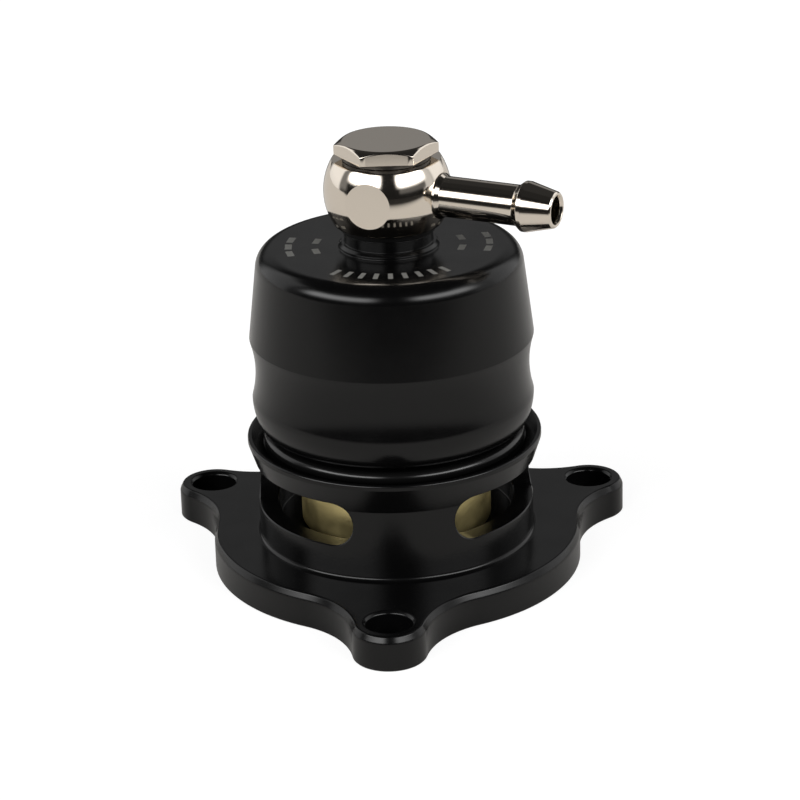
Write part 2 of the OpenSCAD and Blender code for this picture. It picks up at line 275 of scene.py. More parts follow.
class Section:
    """Outline of a piece in the half plane of radius and height, run with the metal on its left."""

    FILLET_STEPS = 4

    def __init__(self, parts: Sequence[Corner | Run], closed: bool = True) -> None:
        """Keeps the parts, and whether the last one joins the first."""
        self.parts = list(parts)
        self.closed = closed

    def stations(self) -> list[Station]:
        """The section's points in order, with two at each sharp corner.

        Returns:
            The stations, from first to last.
        """
        made: list[Station] = []
        count = len(self.parts)
        runs = [self._run(i) for i in range(count)]
        for i, run in enumerate(runs):
            made.extend(run)
            if i + 1 == count and not self.closed:
                break
            a, b = run[-1].at, runs[(i + 1) % count][0].at
            if math.dist(a, b) > NEAR:
                side = facing(a, b)
                made.extend((Station(a, side), Station(b, side)))
        return made

    def _anchor(self, index: int, last: bool) -> Pair:
        """First or last point of a part."""
        part = self.parts[index % len(self.parts)]
        return part.points[-1 if last else 0] if isinstance(part, Run) else (part.r, part.z)

    def _run(self, i: int) -> list[Station]:
        """Stations of one part: those of a smooth run, or those that break a corner.

        Args:
            i: number of the part.

        Returns:
            The part's stations in order.
        """
        part = self.parts[i]
        if isinstance(part, Run):
            return self._smooth(part.points)
        here = (part.r, part.z)
        ends = not self.closed and i in (0, len(self.parts) - 1)
        if ends:
            other = self._anchor(i + 1, False) if i == 0 else self._anchor(i - 1, True)
            return [Station(here, facing(here, other) if i == 0 else facing(other, here))]
        before, after = self._anchor(i - 1, True), self._anchor(i + 1, False)
        n1, n2 = facing(before, here), facing(here, after)
        if part.radius <= 0:
            return [Station(here, n1), Station(here, n2)]
        along = 1 + n1[0] * n2[0] + n1[1] * n2[1]
        bulge = 1.0 if n1[0] * n2[1] - n1[1] * n2[0] > 0 else -1.0
        reach = bulge * part.radius
        centre = (here[0] - reach * (n1[0] + n2[0]) / along,
                  here[1] - reach * (n1[1] + n2[1]) / along)
        made = []
        turn = math.atan2(n1[0] * n2[1] - n1[1] * n2[0], along - 1)
        first = math.atan2(n1[1], n1[0])
        for k in range(self.FILLET_STEPS + 1):
            a = first + turn * k / self.FILLET_STEPS
            n = (math.cos(a), math.sin(a))
            made.append(Station((centre[0] + reach * n[0], centre[1] + reach * n[1]), n))
        return made

    @staticmethod
    def _smooth(points: Sequence[Pair]) -> list[Station]:
        """Stations of a smooth run, which face midway between the steps that meet there.

        Args:
            points: the run's points.

        Returns:
            A station for each point.
        """
        sides = [facing(a, b) for a, b in zip(points, points[1:])]
        made = []
        for i, p in enumerate(points):
            if 0 < i < len(points) - 1:
                n = unit(sides[i - 1][0] + sides[i][0], sides[i - 1][1] + sides[i][1])
            else:
                near, far = (sides[0], sides[1]) if i == 0 else (sides[-1], sides[-2])
                # Half a step on from the nearest one, as the run's end lies
                n = unit(1.5 * near[0] - 0.5 * far[0], 1.5 * near[1] - 0.5 * far[1])
            made.append(Station(p, n))
        return made


class MeshDraft:
    """Collects faces whose corners each have their own surface direction, and makes a closed mesh of them."""

    CELLS_PER_MM = 2e4
    INNER_TRIANGLES = 1

    def __init__(self) -> None:
        """Starts without points and faces."""
        self.points: list[Triple] = []
        self.index: dict[tuple[int, ...], int] = {}
        self.faces: list[list[int]] = []
        self.normals: list[Triple] = []

    def vertex(self, p: Triple) -> int:
        """Number of the vertex at a point, which is shared by all faces that meet there.

        Args:
            p: the point.

        Returns:
            The vertex's number.
        """
        key = tuple(round(v * self.CELLS_PER_MM) for v in p)
        if key not in self.index:
            self.index[key] = len(self.points)
            self.points.append(p)
        return self.index[key]

    def face(self, corners: Sequence[tuple[Triple, Triple]]) -> None:
        """Adds a face, turned so that it faces the way that its corners say.

        Args:
            corners: point and surface direction of each corner, in order.
        """
        ids: list[int] = []
        sides: list[Triple] = []
        for p, n in corners:
            i = self.vertex(p)
            if i not in ids:
                ids.append(i)
                sides.append(n)
        if len(ids) < 3:
            return
        a, b, c = (Vector(self.points[i]) for i in (ids[0], ids[1], ids[-1]))
        way = (b - a).cross(c - a)
        if way.dot(Vector(sides[0]) + Vector(sides[1]) + Vector(sides[-1])) < 0:
            ids.reverse()
            sides.reverse()
        self.faces.append(ids)
        self.normals.extend(sides)

    def strip(self, a: Ring, b: Ring, closed: bool = True) -> None:
        """Adds the faces between two rings of equal length.

        Args:
            a: the first ring.
            b: the second ring.
            closed: whether the rings' last corners join their first.
        """
        count = len(a)
        for j in range(count if closed else count - 1):
            k = (j + 1) % count
            self.face((a[j], a[k], b[k], b[j]))

    def flat(self, outer: Sequence[Pair], holes: Sequence[Sequence[Pair]], z: float, up: bool) -> None:
        """Fills a flat face at a height between an outer loop and the loops of its holes.

        Args:
            outer: the outer loop.
            holes: the loops of the holes.
            z: height of the face.
            up: whether the face looks up.
        """
        points: list[Pair] = []
        edges: list[tuple[int, int]] = []
        for loop in (outer, *holes):
            first, count = len(points), len(loop)
            points.extend(loop)
            edges.extend((first + i, first + (i + 1) % count) for i in range(count))
        _, _, triangles, origins, *_ = delaunay_2d_cdt(
            [Vector(p) for p in points], edges, [], self.INNER_TRIANGLES, NEAR)
        side = (0.0, 0.0, 1.0 if up else -1.0)
        for triangle in triangles:
            corners = [points[origins[i][0]] for i in triangle]
            middle = [sum(p[k] for p in corners) / 3 for k in range(2)]
            if inside(middle, outer) and not any(inside(middle, hole) for hole in holes):
                self.face([((*p, z), side) for p in corners])

    def turn(self, section: Section, segments: int, place: Matrix | None = None) -> None:
        """Turns a section about the Z axis, and then moves it by a matrix if one is given."""
        angles = [2 * math.pi * j / segments for j in range(segments)]
        self.spin(section.stations(), angles, section.closed, place)

    def spin(self, stations: Sequence[Station], angles: Sequence[float], closed: bool,
             place: Matrix | None = None, centre: Pair = (0.0, 0.0)) -> None:
        """Joins the rings that the stations make at the given angles about an upright axis.

        Args:
            stations: points of the section.
            angles: angles of the ring's points, in radians.
            closed: whether the last ring joins the first.
            place: matrix that moves the rings.
            centre: where the upright axis stands.
        """
        rings = [ring(s, angles, centre) for s in stations]
        if place is not None:
            turn = place.to_3x3()
            rings = [[(tuple(place @ Vector(p)), tuple(turn @ Vector(n))) for p, n in r] for r in rings]
        for i in range(len(rings) if closed else len(rings) - 1):
            k = (i + 1) % len(rings)
            a, b = stations[i].at, stations[k].at
            if math.dist(a, b) > NEAR and max(a[0], b[0]) > NEAR:
                self.strip(rings[i], rings[k])

    def to_object(self, name: str, own_normals: bool = True) -> bpy.types.Object:
        """Makes the object, in metres, and keeps the corners' own directions if asked.

        Args:
            name: name of the object.
            own_normals: whether the corners keep their own directions.

        Returns:
            The object.
        """
        mesh = bpy.data.meshes.new(name)
        mesh.from_pydata([(x * MM, y * MM, z * MM) for x, y, z in self.points], [], self.faces)
        mesh.polygons.foreach_set("use_smooth", [True] * len(mesh.polygons))
        if own_normals:
            mesh.normals_split_custom_set(self.normals)
        mesh.update()
        return add_object(name, mesh)


def inside(p: Sequence[float], loop: Sequence[Pair]) -> bool:
    """Whether a point lies inside a loop.

    Args:
        p: the point.
        loop: the loop's points in order.

    Returns:
        True for a point inside.
    """
    odd = False
    for (x1, y1), (x2, y2) in zip(loop, (*loop[1:], loop[0])):
        if (y1 > p[1]) != (y2 > p[1]) and p[0] < x1 + (p[1] - y1) * (x2 - x1) / (y2 - y1):
            odd = not odd
    return odd


def turned(name: str, parts: Sequence[Corner | Run], segments: int, place: Matrix | None = None,
           own_normals: bool = True) -> bpy.types.Object:
    """Makes an object by turning a closed section about the Z axis.

    Args:
        name: name of the object.
        parts: the section's corners and runs.
        segments: number of steps round the axis.
        place: matrix that moves the turned piece, in millimetres.
        own_normals: whether the mesh keeps the section's own surface directions.

    Returns:
        The object.
    """
    draft = MeshDraft()
    draft.turn(Section(parts), segments, place)
    return draft.to_object(name, own_normals)


def ring(station: Station, angles: Iterable[float], centre: Pair = (0.0, 0.0)) -> Ring:
    """The ring that a station makes round an upright axis."""
    (r, z), (nr, nz) = station.at, station.facing
    return [((centre[0] + r * math.cos(a), centre[1] + r * math.sin(a), z),
             (nr * math.cos(a), nr * math.sin(a), nz)) for a in angles]


def circle(r: float, angles: Iterable[float]) -> list[Pair]:
    """Points round the axis at a radius, with the angles in radians."""
    return [(r * math.cos(a), r * math.sin(a)) for a in angles]


def aimed(points: Sequence[Triple], way: Pair) -> Ring:
    """Points of a turned surface, with the way that its section faces turned to each of them."""
    sides = [unit(p[0], p[1]) for p in points]
    return [(p, (way[0] * n[0], way[0] * n[1], way[1])) for p, n in zip(points, sides)]


def add_object(name: str, mesh: bpy.types.Mesh) -> bpy.types.Object:
    """Puts a mesh into the scene as an object at the origin.

    Args:
        name: name of the object.
        mesh: its mesh.

    Returns:
        The object.
    """
    made = bpy.data.objects.new(name, mesh)
    bpy.context.scene.collection.objects.link(made)
    return made


def bake(obj: bpy.types.Object) -> bpy.types.Object:
    """Replaces an object's mesh by what its modifiers make of it, and removes them.

    Args:
        obj: the object.

    Returns:
        The same object.
    """
    graph = bpy.context.evaluated_depsgraph_get()
    mesh = bpy.data.meshes.new_from_object(
        obj.evaluated_get(graph), preserve_all_data_layers=True, depsgraph=graph)
    obj.modifiers.clear()
    old, obj.data = obj.data, mesh
    mesh.name = obj.name
    bpy.data.meshes.remove(old)
    return obj


def break_edges(obj: bpy.types.Object, width: float, angle: float, segments: int = 3,
                weight: int = 80) -> bpy.types.Object:
    """Rounds the edges of a mesh that are sharper than an angle.

    Args:
        obj: the object, whose mesh is replaced.
        width: width of the rounding.
        angle: smallest angle of an edge that is rounded, in degrees.
        segments: number of steps across the rounding.
        weight: how far large faces set the shading of the edges beside them.

    Returns:
        The same object.
    """
    obj.data.polygons.foreach_set("use_smooth", [True] * len(obj.data.polygons))
    bevel = obj.modifiers.new("edges", "BEVEL")
    bevel.width = width * MM
    bevel.segments = segments
    bevel.limit_method = "ANGLE"
    bevel.angle_limit = math.radians(angle)
    bevel.use_clamp_overlap = True
    weighted = obj.modifiers.new("shading", "WEIGHTED_NORMAL")
    weighted.weight = weight
    weighted.keep_sharp = False
    return bake(obj)


# Shader node groups


class Tree:
    """Small helper that adds and links nodes of a tree."""

    def __init__(self, tree: bpy.types.NodeTree) -> None:
        """Works on a node tree."""
        self.tree = tree

    def add(self, kind: str, **settings: object) -> bpy.types.Node:
        """Adds a node and sets its properties.

        Args:
            kind: type of the node.
            settings: its properties by name.

        Returns:
            The node.
        """
        node = self.tree.nodes.new(kind)
        for name, value in settings.items():
            setattr(node, name, value)
        return node

    def link(self, source: bpy.types.NodeSocket, target: bpy.types.NodeSocket) -> None:
        """Joins an output to an input."""
        self.tree.links.new(source, target)

    def math(self, operation: str, *values: object) -> bpy.types.NodeSocket:
        """Adds a math node.

        Args:
            operation: what the node works out.
            values: its inputs, as sockets or numbers.

        Returns:
            The node's output.
        """
        node = self.add("ShaderNodeMath", operation=operation)
        for socket, value in zip(node.inputs, values):
            if isinstance(value, bpy.types.NodeSocket):
                self.link(value, socket)
            else:
                socket.default_value = value
        return node.outputs[0]


def new_group(name: str, inputs: dict[str, tuple[str, object]], outputs: dict[str, str]) -> tuple[
        bpy.types.NodeTree, bpy.types.Node, bpy.types.Node]:
    """Makes a shader node group with its interface.

    Args:
        name: name of the group.
        inputs: socket type and value of each input by name.
        outputs: socket type of each output by name.

    Returns:
        The group's tree, its input node and its output node.
    """
    group = bpy.data.node_groups.new(name, "ShaderNodeTree")
    for label, (kind, value) in inputs.items():
        group.interface.new_socket(label, in_out="INPUT", socket_type=kind).default_value = value
    for label, kind in outputs.items():
        group.interface.new_socket(label, in_out="OUTPUT", socket_type=kind)
    return group, group.nodes.new("NodeGroupInput"), group.nodes.new("NodeGroupOutput")


class Effects:
    """Node groups that the materials and the world share."""

    GRAIN_DEPTH = 0.02
    GRAIN_DETAIL = 3.0
    PATCH_DETAIL = 4.0
    PATCH_ROUGHNESS = 0.6
    PATCH_SPAN: Pair = (0.35, 0.65)

    def __init__(self) -> None:
        """Builds the groups."""
        self.grain = self._grain()
        self.blotch = self._blotch()
        self.window = self._window()

    @staticmethod
    def _grain() -> bpy.types.NodeTree:
        """Fine rings of a turned surface, as a value round a half and as a bent normal.

        Returns:
            The group's tree.
        """
        group, start, end = new_group(
            "turned_grain",
            {"Lines per mm": ("NodeSocketFloat", 12.0), "Strength": ("NodeSocketFloat", 0.1)},
            {"Value": "NodeSocketFloat", "Normal": "NodeSocketVector"})
        tree = Tree(group)
        place = tree.add("ShaderNodeTexCoord")
        split = tree.add("ShaderNodeSeparateXYZ")
        tree.link(place.outputs["Object"], split.inputs[0])
        squared = tree.math("ADD", tree.math("MULTIPLY", split.outputs[0], split.outputs[0]),
                            tree.math("MULTIPLY", split.outputs[1], split.outputs[1]))
        radius = tree.math("SQRT", squared)
        run = tree.math("MULTIPLY", tree.math("ADD", radius, split.outputs[2]), 1 / MM)
        noise = tree.add("ShaderNodeTexNoise", noise_dimensions="1D")
        noise.inputs["Detail"].default_value = Effects.GRAIN_DETAIL
        tree.link(tree.math("MULTIPLY", run, start.outputs["Lines per mm"]), noise.inputs["W"])
        noise.inputs["Scale"].default_value = 1.0
        bump = tree.add("ShaderNodeBump")
        bump.inputs["Distance"].default_value = Effects.GRAIN_DEPTH * MM
        tree.link(start.outputs["Strength"], bump.inputs["Strength"])
        tree.link(noise.outputs["Fac"], bump.inputs["Height"])
        tree.link(noise.outputs["Fac"], end.inputs["Value"])
        tree.link(bump.outputs["Normal"], end.inputs["Normal"])
        return group

    @staticmethod
    def _blotch() -> bpy.types.NodeTree:
        """Soft patches from handling, as a value between two limits.

        Returns:
            The group's tree.
        """
        group, start, end = new_group(
            "handling_blotch",
            {"Size": ("NodeSocketFloat", 6.0), "Low": ("NodeSocketFloat", 0.0),
             "High": ("NodeSocketFloat", 1.0)},
            {"Value": "NodeSocketFloat"})
        tree = Tree(group)
        place = tree.add("ShaderNodeTexCoord")
        noise = tree.add("ShaderNodeTexNoise")
        noise.inputs["Detail"].default_value = Effects.PATCH_DETAIL
        noise.inputs["Roughness"].default_value = Effects.PATCH_ROUGHNESS
        tree.link(place.outputs["Object"], noise.inputs["Vector"])
        tree.link(tree.math("DIVIDE", 1 / MM, start.outputs["Size"]), noise.inputs["Scale"])
        span = tree.add("ShaderNodeMapRange")
        span.inputs["From Min"].default_value, span.inputs["From Max"].default_value = Effects.PATCH_SPAN
        tree.link(noise.outputs["Fac"], span.inputs["Value"])
        tree.link(start.outputs["Low"], span.inputs["To Min"])
        tree.link(start.outputs["High"], span.inputs["To Max"])
        tree.link(span.outputs[0], end.inputs["Value"])
        return group

    @staticmethod
    def _window() -> bpy.types.NodeTree:
        """One inside a range with soft ends, and nought outside it.

        Returns:
            The group's tree.
        """
        group, start, end = new_group(
            "soft_window",
            {"Value": ("NodeSocketFloat", 0.0), "Low": ("NodeSocketFloat", -1.0),
             "High": ("NodeSocketFloat", 1.0), "Soft": ("NodeSocketFloat", 0.1)},
            {"Value": "NodeSocketFloat"})
        tree = Tree(group)
        both = []
        for high, low in (("Value", "Low"), ("High", "Value")):
            past = tree.math("SUBTRACT", start.outputs[high], start.outputs[low])
            edge = tree.math("DIVIDE", past, start.outputs["Soft"])
            span = tree.add("ShaderNodeMapRange", interpolation_type="SMOOTHSTEP")
            span.inputs["From Min"].default_value = -0.5
            span.inputs["From Max"].default_value = 0.5
            tree.link(edge, span.inputs["Value"])
            both.append(span.outputs[0])
        tree.link(tree.math("MULTIPLY", *both), end.inputs["Value"])
        return group


# Finishes


@dataclass(frozen=True)
class Finish:
    """How one finish looks."""

    slot: Slot
    colour: Triple
    roughness: float
    metallic: float = 0.0
    specular: float = 0.5
    blotch: float = 0.0
    grain: float = 0.0
    lines_per_mm: float = 12.0

    def material(self, effects: Effects) -> bpy.types.Material:
        """Builds the material of this finish.

        Args:
            effects: the shared node groups.

        Returns:
            The material.
        """
        made = bpy.data.materials.new(self.slot.value)
        made.use_nodes = True
        tree = Tree(made.node_tree)
        shader = made.node_tree.nodes["Principled BSDF"]
        shader.inputs["Base Color"].default_value = (*self.colour, 1.0)
        shader.inputs["Metallic"].default_value = self.metallic
        shader.inputs["Roughness"].default_value = self.roughness
        shader.inputs["Specular IOR Level"].default_value = self.specular
        if self.blotch > 0:
            patches = tree.add("ShaderNodeGroup", node_tree=effects.blotch)
            patches.inputs["Low"].default_value = self.roughness * (1 - self.blotch)
            patches.inputs["High"].default_value = self.roughness * (1 + self.blotch)
            tree.link(patches.outputs["Value"], shader.inputs["Roughness"])
        if self.grain > 0:
            lines = tree.add("ShaderNodeGroup", node_tree=effects.grain)
            lines.inputs["Lines per mm"].default_value = self.lines_per_mm
            lines.inputs["Strength"].default_value = self.grain
            tree.link(lines.outputs["Normal"], shader.inputs["Normal"])
        return made


FINISHES = (
    Finish(Slot.BASE, (0.002, 0.002, 0.0021), 0.21, specular=0.3, blotch=0.12, grain=0.05),
    Finish(Slot.CAP, (0.002, 0.002, 0.0021), 0.19, specular=0.3, blotch=0.12, grain=0.05),
    Finish(Slot.BRASS, (0.85, 0.71, 0.33), 0.38, metallic=1.0, blotch=0.15),
    Finish(Slot.NICKEL, (0.84, 0.76, 0.66), 0.08, metallic=1.0, blotch=0.2),
    Finish(Slot.SPRING, (0.45, 0.45, 0.46), 0.3, metallic=1.0),
    # The washer is a real part, but its near-black colour is painted shade: it stands in for the shaded gap under the
    # bolt's head.
    Finish(Slot.WASHER, (0.05, 0.048, 0.046), 0.4, metallic=1.0, blotch=0.2),
    Finish(Slot.PAD, (0.003, 0.003, 0.003), 0.5, specular=0.12),
    Finish(Slot.RUBBER, (0.004, 0.004, 0.004), 0.2, specular=0.4),
    Finish(Slot.GUIDE, (0.65, 0.62, 0.52), 0.5),
)


class Paint:
    """Holds the materials and gives them to pieces."""

    MARK_COLOUR: Colour = (0.17, 0.17, 0.16, 1.0)
    MARK_ROUGHNESS = 0.6

    def __init__(self, effects: Effects) -> None:
        """Makes the material of each finish, and that of the marks."""
        self.by_slot = {f.slot: f.material(effects) for f in FINISHES}
        self.mark = self._mark()

    @staticmethod
    def _mark() -> bpy.types.Material:
        """Pale grey of a laser mark in the black.

        Returns:
            The material.
        """
        made = bpy.data.materials.new("laser_mark")
        made.use_nodes = True
        shader = made.node_tree.nodes["Principled BSDF"]
        shader.inputs["Base Color"].default_value = Paint.MARK_COLOUR
        shader.inputs["Roughness"].default_value = Paint.MARK_ROUGHNESS
        return made

    def give(self, obj: bpy.types.Object, slot: Slot) -> bpy.types.Object:
        """Gives a piece the material of a slot.

        Args:
            obj: the piece.
            slot: the slot.

        Returns:
            The same piece.
        """
        obj.data.materials.clear()
        obj.data.materials.append(self.by_slot[slot])
        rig.slot(obj, slot.value)
        return obj

    def seat(self, obj: bpy.types.Object, body: Body, slot: Slot, *nodes: str) -> bpy.types.Object:
        """Finishes a piece: its material, the body that it rides on and the nodes that it stands for.

        Args:
            obj: the piece.
            body: the body.
            slot: the material slot.
            nodes: names of the frame's nodes that it stands for.

        Returns:
            The same piece.
        """
        self.give(obj, slot)
        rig.ride(obj, body.value)
        if nodes:
            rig.replaces(obj, *nodes)
            self._compare(obj, nodes)
        return obj

    @staticmethod
    def _compare(obj: bpy.types.Object, nodes: Sequence[str]) -> None:
        """Logs how far a piece's box is from that of the nodes that it stands for.

        Args:
            obj: the piece.
            nodes: names of the nodes.
        """
        boxes = [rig.box(n) for n in nodes]
        low = [min(b[0][k] for b in boxes) for k in range(3)]
        high = [max(b[1][k] for b in boxes) for k in range(3)]
        mine = [[v.co[k] for v in obj.data.vertices] for k in range(3)]
        off = max(max(abs(min(mine[k]) - low[k]), abs(max(mine[k]) - high[k])) for k in range(3)) / MM
        LOG.info("%s: %d faces, box off by %.2f mm", obj.name, len(obj.data.polygons), off)


# Pieces


@dataclass(frozen=True)
class Column:
    """A column of the vented wall: its plane, its offset from that and half the vent's height there."""

    aim: float
    side: float
    half: float

    def angle(self, r: float) -> float:
        """Angle of the column round the axis at a radius."""
        return self.aim + math.asin(self.side / r)

    def at(self, r: float, z: float) -> Triple:
        """Point of the column at a radius and a height."""
        a = self.angle(r)
        return (r * math.cos(a), r * math.sin(a), z)


@dataclass
class BaseFlange:
    """Eared flange plate with the vented neck and the flared collar.

    Lands are narrow flat rims round an edge, where its rings meet the faces beside it.
    """

    thickness: float = 5.2
    disc_r: float = 27.1
    bolt_r: float = 33.15
    hole_r: float = 3.25
    ear_r: float = 5.25
    first_ear: float = 30.0
    blend_r: float = 14.0
    edge_w: float = 0.5
    edge_h: float = 1.0
    edge_round: float = 1.0
    top_land: float = 0.85
    low_bevel: float = 0.2
    low_land: float = 0.6
    hole_bevel: float = 0.4
    hole_land: float = 0.25
    inlet_r: float = 12.0
    seat_z: float = 6.8
    groove_in: float = 14.1
    groove_out: float = 16.9
    groove_h: float = 2.25
    groove_land: float = 0.4
    neck_r: float = 20.2
    chamber_r: float = 17.3
    fillet: float = 0.6
    foot_land: float = 0.5
    vent_low: float = 10.1
    vent_high: float = 16.7
    vent_angle: float = 77.5
    first_vent: float = 330.0
    vent_turn: float = 5.6
    vent_break: float = 0.15
    vent_land: float = 0.7
    flare_z: float = 15.8
    flare_top: float = 19.7
    collar_r: float = 21.5
    rim_z: float = 20.5
    rim_w: float = 0.55
    rim_round: float = 0.35
    funnel_r: float = 19.2
    funnel_z: float = 19.4
    funnel_land: Pair = (0.3, 0.7)
    EARS: ClassVar[int] = 3
    BLEND_STEPS: ClassVar[int] = 32
    ROUND_STEPS: ClassVar[int] = 48
    HOLE_STEPS: ClassVar[int] = 72
    FOOT_STEPS: ClassVar[int] = 8
    END_STEPS: ClassVar[int] = 10
    VENT_STEPS: ClassVar[int] = 44
    WALL_STEPS: ClassVar[int] = 28

    def build(self) -> bpy.types.Object:
        """Builds the whole piece as one closed mesh.

        Returns:
            The object.
        """
        draft = MeshDraft()
        columns = self._columns(self.vent_break)
        outer = [c.angle(self.neck_r) for c in columns]
        inner = [c.angle(self.chamber_r) for c in columns]
        self._plate(draft, outer, inner)
        self._turned_faces(draft, outer, inner)
        self._wall(draft, columns, outer, inner)
        self._vents(draft)
        return draft.to_object("base_flange_shown")

    def _ear_angle(self, i: int) -> float:
        """Angle of an ear round the axis, in radians."""
        return math.radians(self.first_ear + 360 / self.EARS * i)

    @staticmethod
    def _stretch(turn: float, centre: Pair, r: float, start: float, end: float, steps: int,
                 side: float) -> list[tuple[Pair, Pair]]:
        """Points along a round stretch of the outline, without its last one.

        Args:
            turn: angle that turns the stretch about the axis, in radians.
            centre: centre of the stretch before that turn.
            r: radius of the stretch.
            start: first angle, in radians.
            end: last angle, in radians.
            steps: number of steps.
            side: one where the metal lies inside the stretch, and minus one where it lies outside.

        Returns:
            The points, with the directions that they face.
        """
        c, t = math.cos(turn), math.sin(turn)
        made = []
        for k in range(steps):
            a = start + (end - start) * k / steps
            n = (math.cos(a), math.sin(a))
            p = (centre[0] + r * n[0], centre[1] + r * n[1])
            made.append(((c * p[0] - t * p[1], t * p[0] + c * p[1]),
                         (side * (c * n[0] - t * n[1]), side * (t * n[0] + c * n[1]))))
        return made

    def _outline(self) -> list[tuple[Pair, Pair]]:
        """The eared outline, from ear to ear.

        Returns:
            Points of the outline, with the directions that they face.
        """
        out, ear = self.disc_r + self.blend_r, self.ear_r + self.blend_r
        lean = math.acos((self.bolt_r ** 2 + out ** 2 - ear ** 2) / (2 * self.bolt_r * out))
        bx, by = out * math.cos(lean), out * math.sin(lean)
        ear_a = math.atan2(by, bx - self.bolt_r)
        pitch, half = math.radians(360 / self.EARS), math.pi
        stretches = (
            ((bx, -by), self.blend_r, half - lean, half - ear_a, self.BLEND_STEPS, -1.0),
            ((self.bolt_r, 0), self.ear_r, -ear_a, ear_a, self.ROUND_STEPS, 1.0),
            ((bx, by), self.blend_r, half + ear_a, half + lean, self.BLEND_STEPS, -1.0),
            ((0, 0), self.disc_r, lean, pitch - lean, self.ROUND_STEPS, 1.0),
        )
        made: list[tuple[Pair, Pair]] = []
        for i in range(self.EARS):
            for stretch in stretches:
                made += self._stretch(self._ear_angle(i), *stretch)
        return made

    def _plate(self, draft: MeshDraft, outer: Sequence[float], inner: Sequence[float]) -> None:
        """Adds the flange plate with its bolt holes.

        Args:
            draft: the mesh that it is added to.
            outer: angles of the wall's columns on the neck, in radians.
            inner: angles of the wall's columns in the chamber, in radians.
        """
        t, bevelled_r = self.thickness, self.hole_r + self.hole_bevel
        outline = self._outline()
        edge = Section([
            Corner(-self.low_land, 0), Corner(-self.low_bevel, 0, Edge.CRISP),
            Corner(0, self.low_bevel, Edge.CRISP), Corner(0, t - self.edge_h, self.edge_round),
            Corner(-self.edge_w, t, Edge.BROAD), Corner(-self.top_land, t)], closed=False).stations()
        rings = [[((p[0] + s.at[0] * n[0], p[1] + s.at[0] * n[1], s.at[1]),
                   (s.facing[0] * n[0], s.facing[0] * n[1], s.facing[1])) for p, n in outline] for s in edge]
        for a, b, s, u in zip(rings, rings[1:], edge, edge[1:]):
            if math.dist(s.at, u.at) > NEAR:
                draft.strip(a, b)
        hole = Section([
            Corner(bevelled_r + self.hole_land, t), Corner(bevelled_r, t, Edge.BROAD),
            Corner(self.hole_r, t - self.hole_bevel, Edge.BROAD),
            Corner(self.hole_r, self.low_bevel, Edge.TIGHT),
            Corner(self.hole_r + self.low_bevel, 0, Edge.TIGHT),
            Corner(self.hole_r + 2 * self.low_bevel, 0)], closed=False).stations()
        tops, lows = [], []
        angles = [2 * math.pi * j / self.HOLE_STEPS for j in range(self.HOLE_STEPS)]
        for centre in circle(self.bolt_r, map(self._ear_angle, range(self.EARS))):
            draft.spin(hole, angles, False, centre=centre)
            for store, end in ((tops, hole[0]), (lows, hole[-1])):
                store.append([p[:2] for p, _ in ring(end, angles, centre)])
        foot = circle(self.neck_r + self.fillet + self.foot_land, outer)
        groove = circle(self.groove_out + self.groove_land, inner)
        draft.flat([p[:2] for p, _ in rings[-1]], [*tops, foot], t, True)
        draft.flat([p[:2] for p, _ in rings[0]], [*lows, groove], 0, False)

    def _columns(self, grow: float) -> list[Column]:
        """Columns round the vented wall.

        Args:
            grow: margin that makes the vents larger all round.

        Returns:
            The columns, from the first vent's start round to it again.
        """
        half = (self.vent_high - self.vent_low) / 2
        end = math.radians(self.vent_angle / 2) - math.asin(half / self.neck_r)
        reach = half + grow
        pitch = 2 * math.pi / self.EARS
        rounds = [math.radians(90 * k / self.END_STEPS) for k in range(self.END_STEPS)]
        made: list[Column] = []
        for i in range(self.EARS):
            middle = math.radians(self.first_vent + self.vent_turn) + pitch * i
            for a in rounds:
                made.append(Column(middle - end, -reach * math.cos(a), reach * math.sin(a)))
            for k in range(self.VENT_STEPS + 1):
                made.append(Column(middle - end + 2 * end * k / self.VENT_STEPS, 0.0, reach))
            for a in reversed(rounds):
                made.append(Column(middle + end, reach * math.cos(a), reach * math.sin(a)))
            for k in range(1, self.WALL_STEPS):
                share = k / self.WALL_STEPS
                made.append(Column(middle + end + (pitch - 2 * end) * share, reach * (1 - 2 * share), 0.0))
        return made

    def _wall_r(self, z: float) -> float:
        """Outer radius of the neck at a height."""
        share = max(0.0, (z - self.flare_z) / (self.flare_top - self.flare_z))
        return self.neck_r + (self.collar_r - self.neck_r) * share

